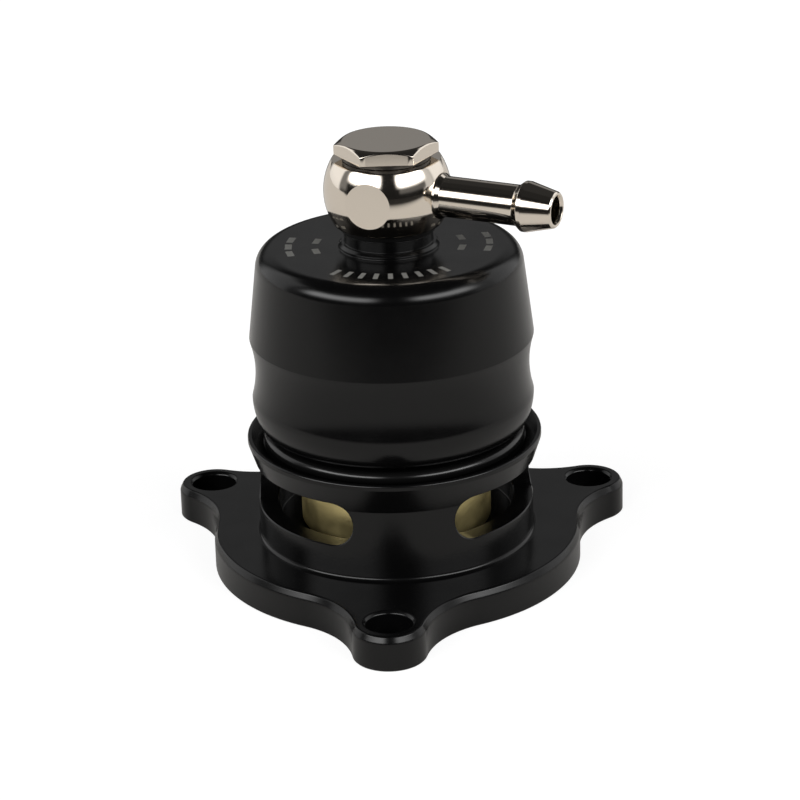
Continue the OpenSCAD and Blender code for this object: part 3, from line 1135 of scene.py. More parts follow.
    def _turned_faces(self, draft: MeshDraft, outer: Sequence[float], inner: Sequence[float]) -> None:
        """Adds the neck's foot, the collar's rim and the bores.

        Args:
            draft: the mesh that they are added to.
            outer: angles of the wall's columns on the neck, in radians.
            inner: angles of the wall's columns in the chamber, in radians.
        """
        t, foot_r = self.thickness, self.neck_r + self.fillet
        foot = Section([Corner(foot_r + self.foot_land, t),
                        arc(foot_r, t + self.fillet, self.fillet, 270, 180, self.FOOT_STEPS)], closed=False)
        draft.spin(foot.stations(), outer, False)
        lean = (self.rim_z - self.funnel_z) / (self.collar_r - self.rim_w - self.funnel_r)
        low, high = self.funnel_land
        collar = Section([
            Corner(self.collar_r, self.flare_top), Corner(self.collar_r, self.rim_z, self.rim_round),
            Corner(self.collar_r - self.rim_w, self.rim_z, Edge.LIGHT),
            Corner(self.funnel_r + high, self.funnel_z + high * lean)], closed=False).stations()
        draft.spin(collar, outer, False)
        bore = Section([
            Corner(self.funnel_r + low, self.funnel_z + low * lean), Corner(self.funnel_r, self.funnel_z),
            Corner(self.chamber_r, self.funnel_z, Edge.SOFT),
            Corner(self.chamber_r, self.vent_high + self.vent_land)], closed=False).stations()
        draft.strip(ring(collar[-1], outer), ring(Station(bore[0].at, collar[-1].facing), inner))
        draft.spin(bore, inner, False)
        inlet = Section([
            Corner(self.chamber_r, self.vent_low - self.vent_land),
            Corner(self.chamber_r, self.seat_z, Edge.SOFT),
            Corner(self.inlet_r, self.seat_z, Edge.WIDE), Corner(self.inlet_r, 0, Edge.WIDE),
            Corner(self.groove_in, 0, Edge.FINE), Corner(self.groove_in, self.groove_h, Edge.SOFT),
            Corner(self.groove_out, self.groove_h, Edge.SOFT), Corner(self.groove_out, 0, Edge.FINE),
            Corner(self.groove_out + self.groove_land, 0)], closed=False)
        draft.spin(inlet.stations(), inner, False)

    def _wall(self, draft: MeshDraft, columns: Sequence[Column], outer: Sequence[float],
              inner: Sequence[float]) -> None:
        """Adds both sides of the vented wall, with the holes of the vents left open.

        Args:
            draft: the mesh that they are added to.
            columns: columns of the wall.
            outer: angles of the columns on the neck, in radians.
            inner: angles of the columns in the chamber, in radians.
        """
        middle = (self.vent_low + self.vent_high) / 2
        lows = [middle - c.half for c in columns]
        highs = [middle + c.half for c in columns]
        flares = [max(self.flare_z, z) for z in highs]
        neck = [[(*p, self.thickness + self.fillet) for p in circle(self.neck_r, outer)]]
        for heights in (lows, highs, flares):
            neck.append([c.at(self._wall_r(z), z) for c, z in zip(columns, heights)])
        neck.append([(*p, self.flare_top) for p in circle(self.collar_r, outer)])
        chamber = [[(*p, self.vent_low - self.vent_land) for p in circle(self.chamber_r, inner)]]
        for heights in (lows, highs):
            chamber.append([c.at(self.chamber_r, z) for c, z in zip(columns, heights)])
        chamber.append([(*p, self.vent_high + self.vent_land) for p in circle(self.chamber_r, inner)])
        slope = facing((self.neck_r, self.flare_z), (self.collar_r, self.flare_top))
        for rows, low, way in ((neck, 0, OUTWARD), (neck, 2, OUTWARD), (neck, 3, slope),
                               (chamber, 0, INWARD), (chamber, 2, INWARD)):
            draft.strip(aimed(rows[low], way), aimed(rows[low + 1], way))

    def _vents(self, draft: MeshDraft) -> None:
        """Adds the walls of the vents, with their broken edges.

        Args:
            draft: the mesh that they are added to.
        """
        middle = (self.vent_low + self.vent_high) / 2
        wide, tight = self._columns(self.vent_break), self._columns(0.0)
        count = len(wide) // self.EARS
        opening = 2 * self.END_STEPS + self.VENT_STEPS + 1
        b = self.vent_break
        for i in range(self.EARS):
            picks = range(i * count, i * count + opening)
            loop = [(k, 1.0) for k in picks] + [(k, -1.0) for k in reversed(picks[1:-1])]
            levels: list[list[Triple]] = [[], [], [], []]
            walls: list[Triple] = []
            for k, up in loop:
                w, n = wide[k], tight[k]
                zw, zn = middle + up * w.half, middle + up * n.half
                levels[0].append(w.at(self._wall_r(zw), zw))
                levels[1].append(n.at(self._wall_r(zn) - b, zn))
                levels[2].append(n.at(self.chamber_r + b, zn))
                levels[3].append(w.at(self.chamber_r, zw))
                across, rise = unit(-n.side, -up * n.half)
                walls.append((-across * math.sin(n.aim), across * math.cos(n.aim), rise))
            outs = [(*unit(p[0], p[1]), 0.0) for p in levels[0]]
            lips = [tuple((Vector(o) + Vector(w)).normalized()) for o, w in zip(outs, walls)]
            backs = [tuple((Vector(w) - Vector(o)).normalized()) for o, w in zip(outs, walls)]
            for low, sides in enumerate((lips, walls, backs)):
                draft.strip(list(zip(levels[low], sides)), list(zip(levels[low + 1], sides)))


@dataclass
class Cap:
    """Turned cap with its waist, rounded crown and boss."""

    bore_r: float = 14.0
    spigot_r: float = 17.25
    spigot_z: float = 17.1
    under_z: float = 21.3
    lip_r: float = 19.6
    lip_z: float = 22.7
    lip_break: float = 0.4
    bulge_r: float = 20.5
    bulge_z: float = 26.5
    waist: float = 0.6
    shoulder_r: float = 20.6
    shoulder_z: float = 35.6
    shoulder_h: float = 0.4
    crown_r: float = 19.3
    crown_round: float = 2.8
    top_z: float = 48.9
    boss_r: float = 7.2
    boss_h: float = 0.8
    pad_r: float = 6.4
    pad_z: float = 51.4
    screw_r: float = 4.05
    roof_z: float = 43.9
    cup_r: float = 11.55
    stop_z: float = 38.2
    BULGE_STEPS: ClassVar[int] = 12
    WAIST_STEPS: ClassVar[int] = 18
    CROWN_STEPS: ClassVar[int] = 16

    def build(self) -> bpy.types.Object:
        """Builds the turned cap."""
        return turned("cap_shown", [*self._outside(), *self._inside()], Steps.CAP)

    def _outside(self) -> list[Corner | Run]:
        """Outer half of the section, from the bore's mouth up to the pad.

        Returns:
            Its corners and runs.
        """
        inset, rise = self.bulge_r - self.lip_r, self.bulge_z - self.lip_z
        big = (inset ** 2 + rise ** 2) / (2 * inset)
        lean = math.degrees(math.asin(rise / big))
        bulge = arc(self.bulge_r - big, self.bulge_z, big, -lean, 0, self.BULGE_STEPS)
        low, high = self.bulge_z, self.shoulder_z - self.shoulder_h
        half = (high - low) / 2
        wide = (half ** 2 + self.waist ** 2) / (2 * self.waist)
        a = math.degrees(math.asin(half / wide))
        hollow = arc(self.bulge_r + wide - self.waist, (low + high) / 2, wide,
                     180 + a, 180 - a, self.WAIST_STEPS)
        taper = math.degrees(math.atan2(self.shoulder_r - self.crown_r, self.top_z - self.shoulder_z))
        crown = arc(self.crown_r - self.crown_round, self.top_z - self.crown_round, self.crown_round,
                    taper, 90, self.CROWN_STEPS)
        boss_z = self.top_z + self.boss_h
        return [
            Corner(self.bore_r, self.spigot_z, Edge.SOFT), Corner(self.spigot_r, self.spigot_z, Edge.WIDE),
            Corner(self.spigot_r, self.under_z, Edge.FINE),
            Corner(self.lip_r - self.lip_break, self.lip_z - self.lip_break, Edge.KEEN),
            Run(bulge.points + hollow.points[1:]), Corner(self.shoulder_r, self.shoulder_z, Edge.SOFT), crown,
            Corner(self.boss_r, self.top_z, Edge.KEEN),
            Corner(self.boss_r, self.top_z + self.boss_h / 2, Edge.CRISP),
            Corner(self.boss_r - self.boss_h / 2, boss_z, Edge.CRISP), Corner(self.pad_r, boss_z, Edge.FINE),
            Corner(self.pad_r, self.pad_z, Edge.SOFT)]

    def _inside(self) -> list[Corner | Run]:
        """Inner half of the section, from the screw hole down to the stop."""
        return [Corner(self.screw_r, self.pad_z), Corner(self.screw_r, self.roof_z),
                Corner(self.cup_r, self.roof_z), Corner(self.cup_r, self.stop_z, Edge.FINE),
                Corner(self.bore_r, self.stop_z, Edge.SOFT)]


@dataclass
class RingSeal:
    """Round ring seal in the mouth of the collar."""

    radius: float = 18.25
    z: float = 20.35
    section: float = 1.8
    SECTION_STEPS: ClassVar[int] = 24

    def build(self) -> bpy.types.Object:
        """Builds the ring."""
        section = arc(self.radius, self.z, self.section / 2, -180, 180, self.SECTION_STEPS)
        return turned("cap_seal_shown", [section], Steps.BODY)


@dataclass
class Piston:
    """Cup of the piston with the grooves of its seal and its guide ring."""

    radius: float = 13.95
    cup_r: float = 11.55
    cup_round: float = 0.5
    low_z: float = 6.8
    floor_z: float = 9.4
    top_z: float = 30.0
    lead: float = 0.5
    guide_r: float = 12.925
    guide_low: float = 20.6
    guide_high: float = 23.7
    seal_r: float = 12.325
    seal_low: float = 26.7
    seal_high: float = 28.5

    def build(self) -> bpy.types.Object:
        """Builds the turned cup.

        Returns:
            The object.
        """
        parts = [Corner(0, self.low_z), Corner(self.radius - self.lead, self.low_z, Edge.LIGHT),
                 Corner(self.radius, self.low_z + self.lead, Edge.SOFT)]
        for r, low, high in ((self.guide_r, self.guide_low, self.guide_high),
                             (self.seal_r, self.seal_low, self.seal_high)):
            parts += [Corner(self.radius, low, Edge.FINE), Corner(r, low, Edge.FINE),
                      Corner(r, high, Edge.FINE), Corner(self.radius, high, Edge.FINE)]
        parts += [Corner(self.radius, self.top_z - self.lead, Edge.LIGHT),
                  Corner(self.radius - self.lead, self.top_z, Edge.LIGHT),
                  Corner(self.cup_r, self.top_z, Edge.WIDE), Corner(self.cup_r, self.floor_z, self.cup_round),
                  Corner(0, self.floor_z)]
        return turned("piston_shown", parts, Steps.BODY)


@dataclass
class Washer:
    """Flat washer of the banjo fitting."""

    name: str
    radius: float
    low_z: float
    high_z: float
    edge: float
    hole_r: float = 4.05

    def build(self) -> bpy.types.Object:
        """Builds the washer with rounded outer edges."""
        parts = [Corner(self.hole_r, self.low_z), Corner(self.radius, self.low_z, self.edge),
                 Corner(self.radius, self.high_z, self.edge), Corner(self.hole_r, self.high_z)]
        return turned(self.name, parts, Steps.SMALL)


@dataclass
class Banjo:
    """Ball of the banjo fitting, with its flats and bores."""

    ball_r: float = 9.1
    height: float = 9.4
    middle: float = 57.22
    bore_r: float = 4.06
    flat_r: float = 3.3
    socket_r: float = 2.95
    nipple_turn: float = -24.0
    flat_turn: float = -107.0
    edge: float = 0.14
    sharp: float = 16.0
    BALL_STEPS: ClassVar[int] = 40
    FLAT_COSINE: ClassVar[float] = 0.9999
    FLAT_NEAR: ClassVar[float] = 0.01

    @property
    def flat_x(self) -> float:
        """Distance from the axis to a flat."""
        return math.sqrt(self.ball_r ** 2 - self.flat_r ** 2)

    def build(self) -> bpy.types.Object:
        """Builds the ball as a turned body that is cut by its flats and by the nipple's socket.

        Returns:
            The object.
        """
        lean = math.degrees(math.asin(self.height / 2 / self.ball_r))
        ball = arc(0, self.middle, self.ball_r, -lean, lean, self.BALL_STEPS)
        low, high = self.middle - self.height / 2, self.middle + self.height / 2
        body = turned("banjo_ring_shown", [Corner(self.bore_r, low), ball, Corner(self.bore_r, high)],
                      Steps.BODY, own_normals=False)
        cutters = [self._slab(self.nipple_turn), self._slab(self.flat_turn), self._socket()]
        for cutter in cutters:
            step = body.modifiers.new(cutter.name, "BOOLEAN")
            step.operation = "DIFFERENCE"
            step.solver = "EXACT"
            step.object = cutter
        bake(body)
        for cutter in cutters:
            bpy.data.objects.remove(cutter)
        self._join_flat(body.data)
        return break_edges(body, self.edge, self.sharp)

    def _join_flat(self, data: bpy.types.Mesh) -> None:
        """Makes one face of the bare flat, so that it mirrors evenly.

        Args:
            data: the ball's mesh, which is changed.
        """
        mesh = bmesh.new()
        mesh.from_mesh(data)
        across = self.along(self.flat_turn).to_3x3() @ Vector((0, 0, 1))
        flat = [f for f in mesh.faces if f.normal.dot(across) > self.FLAT_COSINE
                and abs(f.calc_center_median().dot(across) - self.flat_x * MM) < self.FLAT_NEAR * MM]
        bmesh.ops.dissolve_faces(mesh, faces=flat, use_verts=True)
        mesh.to_mesh(data)
        mesh.free()

    def along(self, turn: float) -> Matrix:
        """Puts the Z axis of a piece along a level direction from the ball's middle."""
        return (Matrix.Translation((0, 0, self.middle)) @ Matrix.Rotation(math.radians(turn), 4, "Z")
                @ Matrix.Rotation(math.radians(90), 4, "Y"))

    def _slab(self, turn: float) -> bpy.types.Object:
        """Cutter that takes off what lies beyond a flat."""
        parts = [Corner(0, self.flat_x), Corner(self.ball_r, self.flat_x),
                 Corner(self.ball_r, 2 * self.ball_r), Corner(0, 2 * self.ball_r)]
        return turned("flat_cutter", parts, Steps.CUTTER, self.along(turn), own_normals=False)

    def _socket(self) -> bpy.types.Object:
        """Cutter of the socket that the nipple sits in."""
        parts = [Corner(0, 0), Corner(self.socket_r, 0),
                 Corner(self.socket_r, self.ball_r), Corner(0, self.ball_r)]
        return turned("socket_cutter", parts, Steps.BORE, self.along(self.nipple_turn), own_normals=False)


@dataclass
class HoseNipple:
    """Barbed nipple that is brazed into the banjo."""

    pipe_r: float = 1.9
    root_x: float = 5.26
    shank_r: float = 2.9
    foot_r: float = 3.3
    foot_len: float = 0.9
    foot_rim: float = 0.3
    barb_r: float = 3.6
    barb_back: float = 1.2
    ridge_x: float = 21.7
    ridge_half: float = 0.3
    tip_r: float = 2.6
    tip_break: float = 0.2
    reach: float = 26.2

    def build(self, banjo: Banjo) -> bpy.types.Object:
        """Builds the nipple along its direction from the ball.

        Args:
            banjo: the ball that it sits in.

        Returns:
            The object.
        """
        start, ridge, end = banjo.flat_x, self.ridge_x, self.reach
        parts = [
            Corner(self.pipe_r, self.root_x), Corner(self.shank_r, self.root_x, Edge.FINE),
            Corner(self.shank_r, start), Corner(self.foot_r, start, Edge.TIGHT),
            Corner(self.foot_r, start + self.foot_rim, Edge.LIGHT),
            Corner(self.shank_r, start + self.foot_len, Edge.WIDE),
            Corner(self.shank_r, ridge - self.barb_back, Edge.WIDE),
            Corner(self.barb_r, ridge - self.ridge_half, Edge.SOFT),
            Corner(self.barb_r, ridge + self.ridge_half, Edge.WIDE),
            Corner(self.tip_r, end - self.tip_break, Edge.SOFT),
            Corner(self.tip_r - self.tip_break, end, Edge.FINE),
            Corner(self.pipe_r + self.tip_break, end, Edge.FINE),
            Corner(self.pipe_r, end - 2 * self.tip_break, Edge.FINE)]
        return turned("hose_nipple_shown", parts, Steps.SMALL, banjo.along(banjo.nipple_turn))


@dataclass
class BanjoBolt:
    """Hollow bolt with a thin hexagon head."""

    head_z: float = 62.54
    head_h: float = 2.1
    across: float = 13.0
    crown: float = 12.48
    turn: float = 2.6
    shank_r: float = 4.0
    waist_r: float = 3.2
    end_z: float = 44.7
    lead: float = 0.5
    waist_low: float = 54.87
    waist_high: float = 59.57
    passage_r: float = 2.0
    passage_top: float = 59.22
    drill_tip: float = 1.0
    overlap: float = 0.2
    cone: float = 30.0
    edge: float = 0.22
    sharp: float = 20.0
    SIDES: ClassVar[int] = 6
    SIDE_STEPS: ClassVar[int] = 20

    def build(self) -> bpy.types.Object:
        """Builds the head and the shank as one object.

        Returns:
            The object.
        """
        head = self._head()
        top = self.head_z + self.overlap
        body = turned("banjo_bolt_shank", [
            Corner(self.passage_r, self.end_z, Edge.FINE),
            Corner(self.shank_r - self.lead, self.end_z, Edge.FINE),
            Corner(self.shank_r, self.end_z + self.lead, Edge.FINE),
            Corner(self.shank_r, self.waist_low, Edge.FINE),
            Corner(self.waist_r, self.waist_low + self.lead, Edge.FINE),
            Corner(self.waist_r, self.waist_high - self.lead, Edge.FINE),
            Corner(self.shank_r, self.waist_high, Edge.FINE), Corner(self.shank_r, top), Corner(0, top),
            Corner(0, self.passage_top),
            Corner(self.passage_r, self.passage_top - self.drill_tip)], Steps.BORE)
        with bpy.context.temp_override(active_object=head, object=head, selected_objects=[head, body],
                                       selected_editable_objects=[head, body]):
            bpy.ops.object.join()
        return head

    def _head(self) -> bpy.types.Object:
        """Hexagon with the cone of its upper edge.

        Returns:
            The object.
        """
        mesh = bmesh.new()
        half, crown, slope = 180 / self.SIDES, self.crown / 2, math.tan(math.radians(self.cone))
        columns = []
        for side in range(self.SIDES):
            for k in range(self.SIDE_STEPS):
                lean = math.radians(-half + 2 * half * k / self.SIDE_STEPS)
                a = math.radians(self.turn + half + 2 * half * side) + lean
                columns.append((a, self.across / 2 / math.cos(lean)))
        levels = (
            [(a, r, 0.0) for a, r in columns],
            [(a, r, self.head_h - max(0.0, r - crown) * slope) for a, r in columns],
            [(a, crown, self.head_h) for a, _ in columns],
        )
        rings = [[mesh.verts.new((r * math.cos(a), r * math.sin(a), self.head_z + z)) for a, r, z in level]
                 for level in levels]
        count = len(columns)
        for low, high in zip(rings, rings[1:]):
            for j in range(count):
                k = (j + 1) % count
                mesh.faces.new((low[j], low[k], high[k], high[j]))
        mesh.faces.new(rings[-1])
        mesh.faces.new(list(reversed(rings[0])))
        bmesh.ops.recalc_face_normals(mesh, faces=mesh.faces[:])
        bmesh.ops.scale(mesh, verts=mesh.verts[:], vec=(MM, MM, MM))
        data = bpy.data.meshes.new("banjo_bolt_shown")
        mesh.to_mesh(data)
        mesh.free()
        return break_edges(add_object("banjo_bolt_shown", data), self.edge, self.sharp)


# Geometry node pieces


class NodePiece:
    """A piece that a geometry node tree makes by a rule."""

    def __init__(self, name: str, inputs: dict[str, tuple[str, object]]) -> None:
        """Starts the tree with its named inputs.

        Args:
            name: name of the piece.
            inputs: socket type and value of each input by name.
        """
        self.name = name
        self.tree = bpy.data.node_groups.new(name + "_rule", "GeometryNodeTree")
        self.sockets: dict[str, str] = {}
        for label, (kind, _) in inputs.items():
            socket = self.tree.interface.new_socket(label, in_out="INPUT", socket_type=kind)
            self.sockets[label] = socket.identifier
        self.tree.interface.new_socket("Geometry", in_out="OUTPUT", socket_type="NodeSocketGeometry")
        self.values = {label: value for label, (_, value) in inputs.items()}
        self.nodes = Tree(self.tree)
        self.start = self.nodes.add("NodeGroupInput")

    def value(self, label: str) -> bpy.types.NodeSocket:
        """Output of a named input."""
        return self.start.outputs[label]

    def finish(self, geometry: bpy.types.NodeSocket, material: bpy.types.Material) -> bpy.types.Object:
        """Ends the tree and runs it.

        Args:
            geometry: what the tree has made.
            material: the piece's material.

        Returns:
            The object, as a plain mesh.
        """
        real = self.nodes.add("GeometryNodeRealizeInstances")
        paint = self.nodes.add("GeometryNodeSetMaterial")
        paint.inputs["Material"].default_value = material
        end = self.nodes.add("NodeGroupOutput")
        self.nodes.link(geometry, real.inputs[0])
        self.nodes.link(real.outputs[0], paint.inputs[0])
        self.nodes.link(paint.outputs[0], end.inputs[0])
        made = add_object(self.name, bpy.data.meshes.new(self.name))
        rule = made.modifiers.new("rule", "NODES")
        rule.node_group = self.tree
        for label, identifier in self.sockets.items():
            rule[identifier] = self.values[label]
        bpy.context.view_layer.update()
        return bake(made)


@dataclass
class Spring:
    """Coil spring with closed end turns."""

    radius: float = 9.75
    wire: float = 1.6
    turns: int = 9
    low: float = 10.25
    high: float = 43.05
    close_gap: float = 0.03
    travel: float = 8.0
    TURN_STEPS: ClassVar[int] = 48
    WIRE_STEPS: ClassVar[int] = 14

    def build(self, material: bpy.types.Material) -> bpy.types.Object:
        """Builds the coil from a spiral whose pitch is small in its end turns.

        Args:
            material: the wire's material.

        Returns:
            The object.
        """
        closed = self.wire + self.close_gap
        free = (self.high - self.low - 2 * closed) / (self.turns - 2)
        piece = NodePiece("spring_shown", {
            "Radius": ("NodeSocketFloat", self.radius * MM), "Wire": ("NodeSocketFloat", self.wire * MM),
            "Turns": ("NodeSocketFloat", float(self.turns)), "Low": ("NodeSocketFloat", self.low * MM),
            "Closed pitch": ("NodeSocketFloat", closed * MM), "Free pitch": ("NodeSocketFloat", free * MM)})
        nodes = piece.nodes
        spiral = nodes.add("GeometryNodeCurveSpiral")
        spiral.inputs["Resolution"].default_value = self.TURN_STEPS
        spiral.inputs["Height"].default_value = 0.0
        nodes.link(piece.value("Turns"), spiral.inputs["Rotations"])
        for label in ("Start Radius", "End Radius"):
            nodes.link(piece.value("Radius"), spiral.inputs[label])
        share = nodes.add("GeometryNodeSplineParameter")
        turn = nodes.math("MULTIPLY", share.outputs["Factor"], piece.value("Turns"))
        last = nodes.math("SUBTRACT", piece.value("Turns"), 1.0)
        ends = nodes.math("ADD", nodes.math("MINIMUM", turn, 1.0),
                          nodes.math("MAXIMUM", nodes.math("SUBTRACT", turn, last), 0.0))
        between = nodes.math("SUBTRACT", turn, ends)
        height = nodes.math("ADD", nodes.math("MULTIPLY", ends, piece.value("Closed pitch")),
                            nodes.math("MULTIPLY", between, piece.value("Free pitch")))
        lift = nodes.add("ShaderNodeCombineXYZ")
        nodes.link(nodes.math("ADD", height, piece.value("Low")), lift.inputs["Z"])
        move = nodes.add("GeometryNodeSetPosition")
        nodes.link(spiral.outputs[0], move.inputs["Geometry"])
        nodes.link(lift.outputs[0], move.inputs["Offset"])
        wire = nodes.add("GeometryNodeCurvePrimitiveCircle")
        wire.inputs["Resolution"].default_value = self.WIRE_STEPS
        nodes.link(nodes.math("MULTIPLY", piece.value("Wire"), 0.5), wire.inputs["Radius"])
        skin = nodes.add("GeometryNodeCurveToMesh")
        skin.inputs["Fill Caps"].default_value = True
        nodes.link(move.outputs[0], skin.inputs["Curve"])
        nodes.link(wire.outputs[0], skin.inputs["Profile Curve"])
        smooth = nodes.add("GeometryNodeSetShadeSmooth")
        nodes.link(skin.outputs[0], smooth.inputs[0])
        return piece.finish(smooth.outputs[0], material)


@dataclass
class TopMarks:
    """Rows of plain dashes marked into the cap's top."""

    name: str
    radius: float
    middle: float
    sweep: float
    count: int
    size: Pair
    top_z: float = 48.9
    raised: float = 0.012

    def build(self, material: bpy.types.Material) -> bpy.types.Object:
        """Builds a row of equal dashes along an arc.

        Args:
            material: the marks' material.

        Returns:
            The object.
        """
        piece = NodePiece(self.name, {
            "Radius": ("NodeSocketFloat", self.radius * MM), "Count": ("NodeSocketInt", self.count),
            "Start": ("NodeSocketFloat", math.radians(self.middle - self.sweep / 2)),
            "Step": ("NodeSocketFloat", math.radians(self.sweep / max(1, self.count - 1))),
            "Size": ("NodeSocketVector", (self.size[0] * MM, self.size[1] * MM, 2 * self.raised * MM)),
            "Height": ("NodeSocketFloat", self.top_z * MM)})
        nodes = piece.nodes
        line = nodes.add("GeometryNodeMeshLine")
        nodes.link(piece.value("Count"), line.inputs["Count"])
        index = nodes.add("GeometryNodeInputIndex")
        along = nodes.math("MULTIPLY", index.outputs[0], piece.value("Step"))
        angle = nodes.math("ADD", along, piece.value("Start"))
        spot = nodes.add("ShaderNodeCombineXYZ")
        for wave, axis in (("COSINE", "X"), ("SINE", "Y")):
            reach = nodes.math("MULTIPLY", nodes.math(wave, angle), piece.value("Radius"))
            nodes.link(reach, spot.inputs[axis])
        nodes.link(piece.value("Height"), spot.inputs["Z"])
        place = nodes.add("GeometryNodeSetPosition")
        nodes.link(line.outputs[0], place.inputs["Geometry"])
        nodes.link(spot.outputs[0], place.inputs["Position"])
        dash = nodes.add("GeometryNodeMeshCube")
        nodes.link(piece.value("Size"), dash.inputs["Size"])
        turn = nodes.add("ShaderNodeCombineXYZ")
        nodes.link(angle, turn.inputs["Z"])
        put = nodes.add("GeometryNodeInstanceOnPoints")
        nodes.link(place.outputs[0], put.inputs["Points"])
        nodes.link(dash.outputs[0], put.inputs["Instance"])
        nodes.link(turn.outputs[0], put.inputs["Rotation"])
        return piece.finish(put.outputs[0], material)


# Studio


@dataclass(frozen=True)
class Panel:
    """A patch of the studio round the object, by direction seen from it: a soft box or a dark flag."""

    low_azimuth: float
    high_azimuth: float
    low_elevation: float
    high_elevation: float
    soft: float
    level: float


# An azimuth beyond every direction, for patches that run all round
ALL_ROUND = 400.0


@dataclass
class Studio:
    """Pale floor, soft light and the camera. Azimuths run to the right from the camera's side.

    Of two patches at one place, the later one covers the earlier one.
    """

    FLOOR_STEPS: ClassVar[int] = 96

    white: float = 1.0
    plain: float = 0.7
    floor_r: float = 3000.0
    floor_gap: float = 0.02
    floor_colour: Triple = (0.86, 0.84, 0.81)
    floor_seen_lit: float = 0.3
    floor_seen_glow: float = 0.84
    floor_level: float = 0.94
    floor_front: float = 235.0
    floor_back: float = -9000.0
    floor_fade: float = 220.0
    floor_beyond: float = 0.04
    floor_side: float = 165.0
    floor_side_soft: float = 20.0
    panels: tuple[Panel, ...] = (
        # Pale table below and a dark room above
        Panel(-ALL_ROUND, ALL_ROUND, -120, 2, 16, 0.85),
        Panel(-ALL_ROUND, ALL_ROUND, 45, 120, 8, 0.02),
        # Dark wall behind the object, with a grey band on it
        Panel(142, ALL_ROUND, -90, 120, 14, 0.03),
        Panel(-ALL_ROUND, -142, -90, 120, 14, 0.03),
        Panel(150, ALL_ROUND, 12, 32, 8, 0.24),
        Panel(-ALL_ROUND, -150, 12, 32, 8, 0.24),
        # Dark front, with cards at its sides
        Panel(-96, 96, -90, 60, 8, 0.012),
        Panel(72, 97, 0, 45, 12, 0.65),
        Panel(-97, -80, 2, 45, 8, 0.2),
        Panel(22, 76, 7, 30, 6, 0.12),
        # Soft boxes
        Panel(-80, -16, 20, 39, 15, 7.0),
        Panel(21, 78, 21, 39, 15, 7.0),
    )
    sensor: float = 36.0
    clip: Pair = (10.0, 20000.0)
    focal_px: float = 3076.98
    frame_px: float = 800.0
    distance: float = 416.767
    rise: float = 192.486
    pitch: float = 21.91
    roll: float = -1.657
    yaw: float = 0.130
    turn: float = 2.63

    def build(self, effects: Effects) -> None:
        """Builds the floor, the world and the camera.

        Args:
            effects: the shared node groups.
        """
        scene = bpy.context.scene
        scene.view_settings.view_transform = "Standard"
        self._floor(effects)
        self._world(effects)
        self._camera()

    def _floor(self, effects: Effects) -> None:
        """Floor that is white to the camera and keeps a soft shadow.

        Args:
            effects: the shared node groups.
        """
        mesh = bmesh.new()
        bmesh.ops.create_circle(mesh, cap_ends=True, segments=self.FLOOR_STEPS, radius=self.floor_r * MM)
        data = bpy.data.meshes.new("floor")
        mesh.to_mesh(data)
        mesh.free()
        floor = add_object("floor", data)
        floor.location.z = -self.floor_gap * MM
        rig.stage(floor)
        made = bpy.data.materials.new("floor")
        made.use_nodes = True
        tree = Tree(made.node_tree)
        made.node_tree.nodes.remove(made.node_tree.nodes["Principled BSDF"])
        path = tree.add("ShaderNodeLightPath")
        camera, mirrored = path.outputs["Is Camera Ray"], self._mirrored(tree, path)
        darker = tree.math("SUBTRACT", 1.0, self._floor_pattern(tree, effects))
        shaded = tree.math("MULTIPLY", mirrored, darker)
        level = tree.math("SUBTRACT", tree.math("SUBTRACT", 1.0, shaded), camera)
        lit = tree.add("ShaderNodeBsdfDiffuse")
        tint = tree.add("ShaderNodeCombineColor")
        for socket, share in zip(tint.inputs[:3], self.floor_colour):
            seen = tree.math("MULTIPLY", camera, self.floor_seen_lit)
            tree.link(tree.math("ADD", tree.math("MULTIPLY", level, share), seen), socket)
        tree.link(tint.outputs[0], lit.inputs["Color"])
        glow = tree.add("ShaderNodeEmission")
        tree.link(tree.math("MULTIPLY", camera, self.floor_seen_glow), glow.inputs["Strength"])
        both = tree.add("ShaderNodeAddShader")
        tree.link(lit.outputs[0], both.inputs[0])
        tree.link(glow.outputs[0], both.inputs[1])
        tree.link(both.outputs[0], made.node_tree.nodes["Material Output"].inputs["Surface"])
        made.cycles.emission_sampling = "NONE"
        data.materials.append(made)

    @staticmethod
    def _mirrored(tree: Tree, path: bpy.types.Node) -> bpy.types.NodeSocket:
        """One for rays that show the surroundings in a reflection or through glass."""
        return tree.math("MAXIMUM", path.outputs["Is Glossy Ray"], path.outputs["Is Transmission Ray"])

    def _azimuth(self, tree: Tree, east: bpy.types.NodeSocket,
                 north: bpy.types.NodeSocket) -> bpy.types.NodeSocket:
        """Azimuth in degrees from the camera's side."""
        way = tree.math("ARCTAN2", east, tree.math("MULTIPLY", north, -1.0))
        return tree.math("SUBTRACT", tree.math("MULTIPLY", way, 180 / math.pi), self.turn)

    @staticmethod
    def _window(tree: Tree, effects: Effects, value: bpy.types.NodeSocket, low: float, high: float,
                soft: float) -> bpy.types.NodeSocket:
        """Adds a soft window on a value.

        Args:
            tree: the tree that it is added to.
            effects: the shared node groups.
            value: the value.
            low: lower end of the window.
            high: upper end of the window.
            soft: width of its soft ends.

        Returns:
            The window's output.
        """
        window = tree.add("ShaderNodeGroup", node_tree=effects.window)
        for label, number in (("Low", low), ("High", high), ("Soft", soft)):
            window.inputs[label].default_value = number
        tree.link(value, window.inputs["Value"])
        return window.outputs[0]

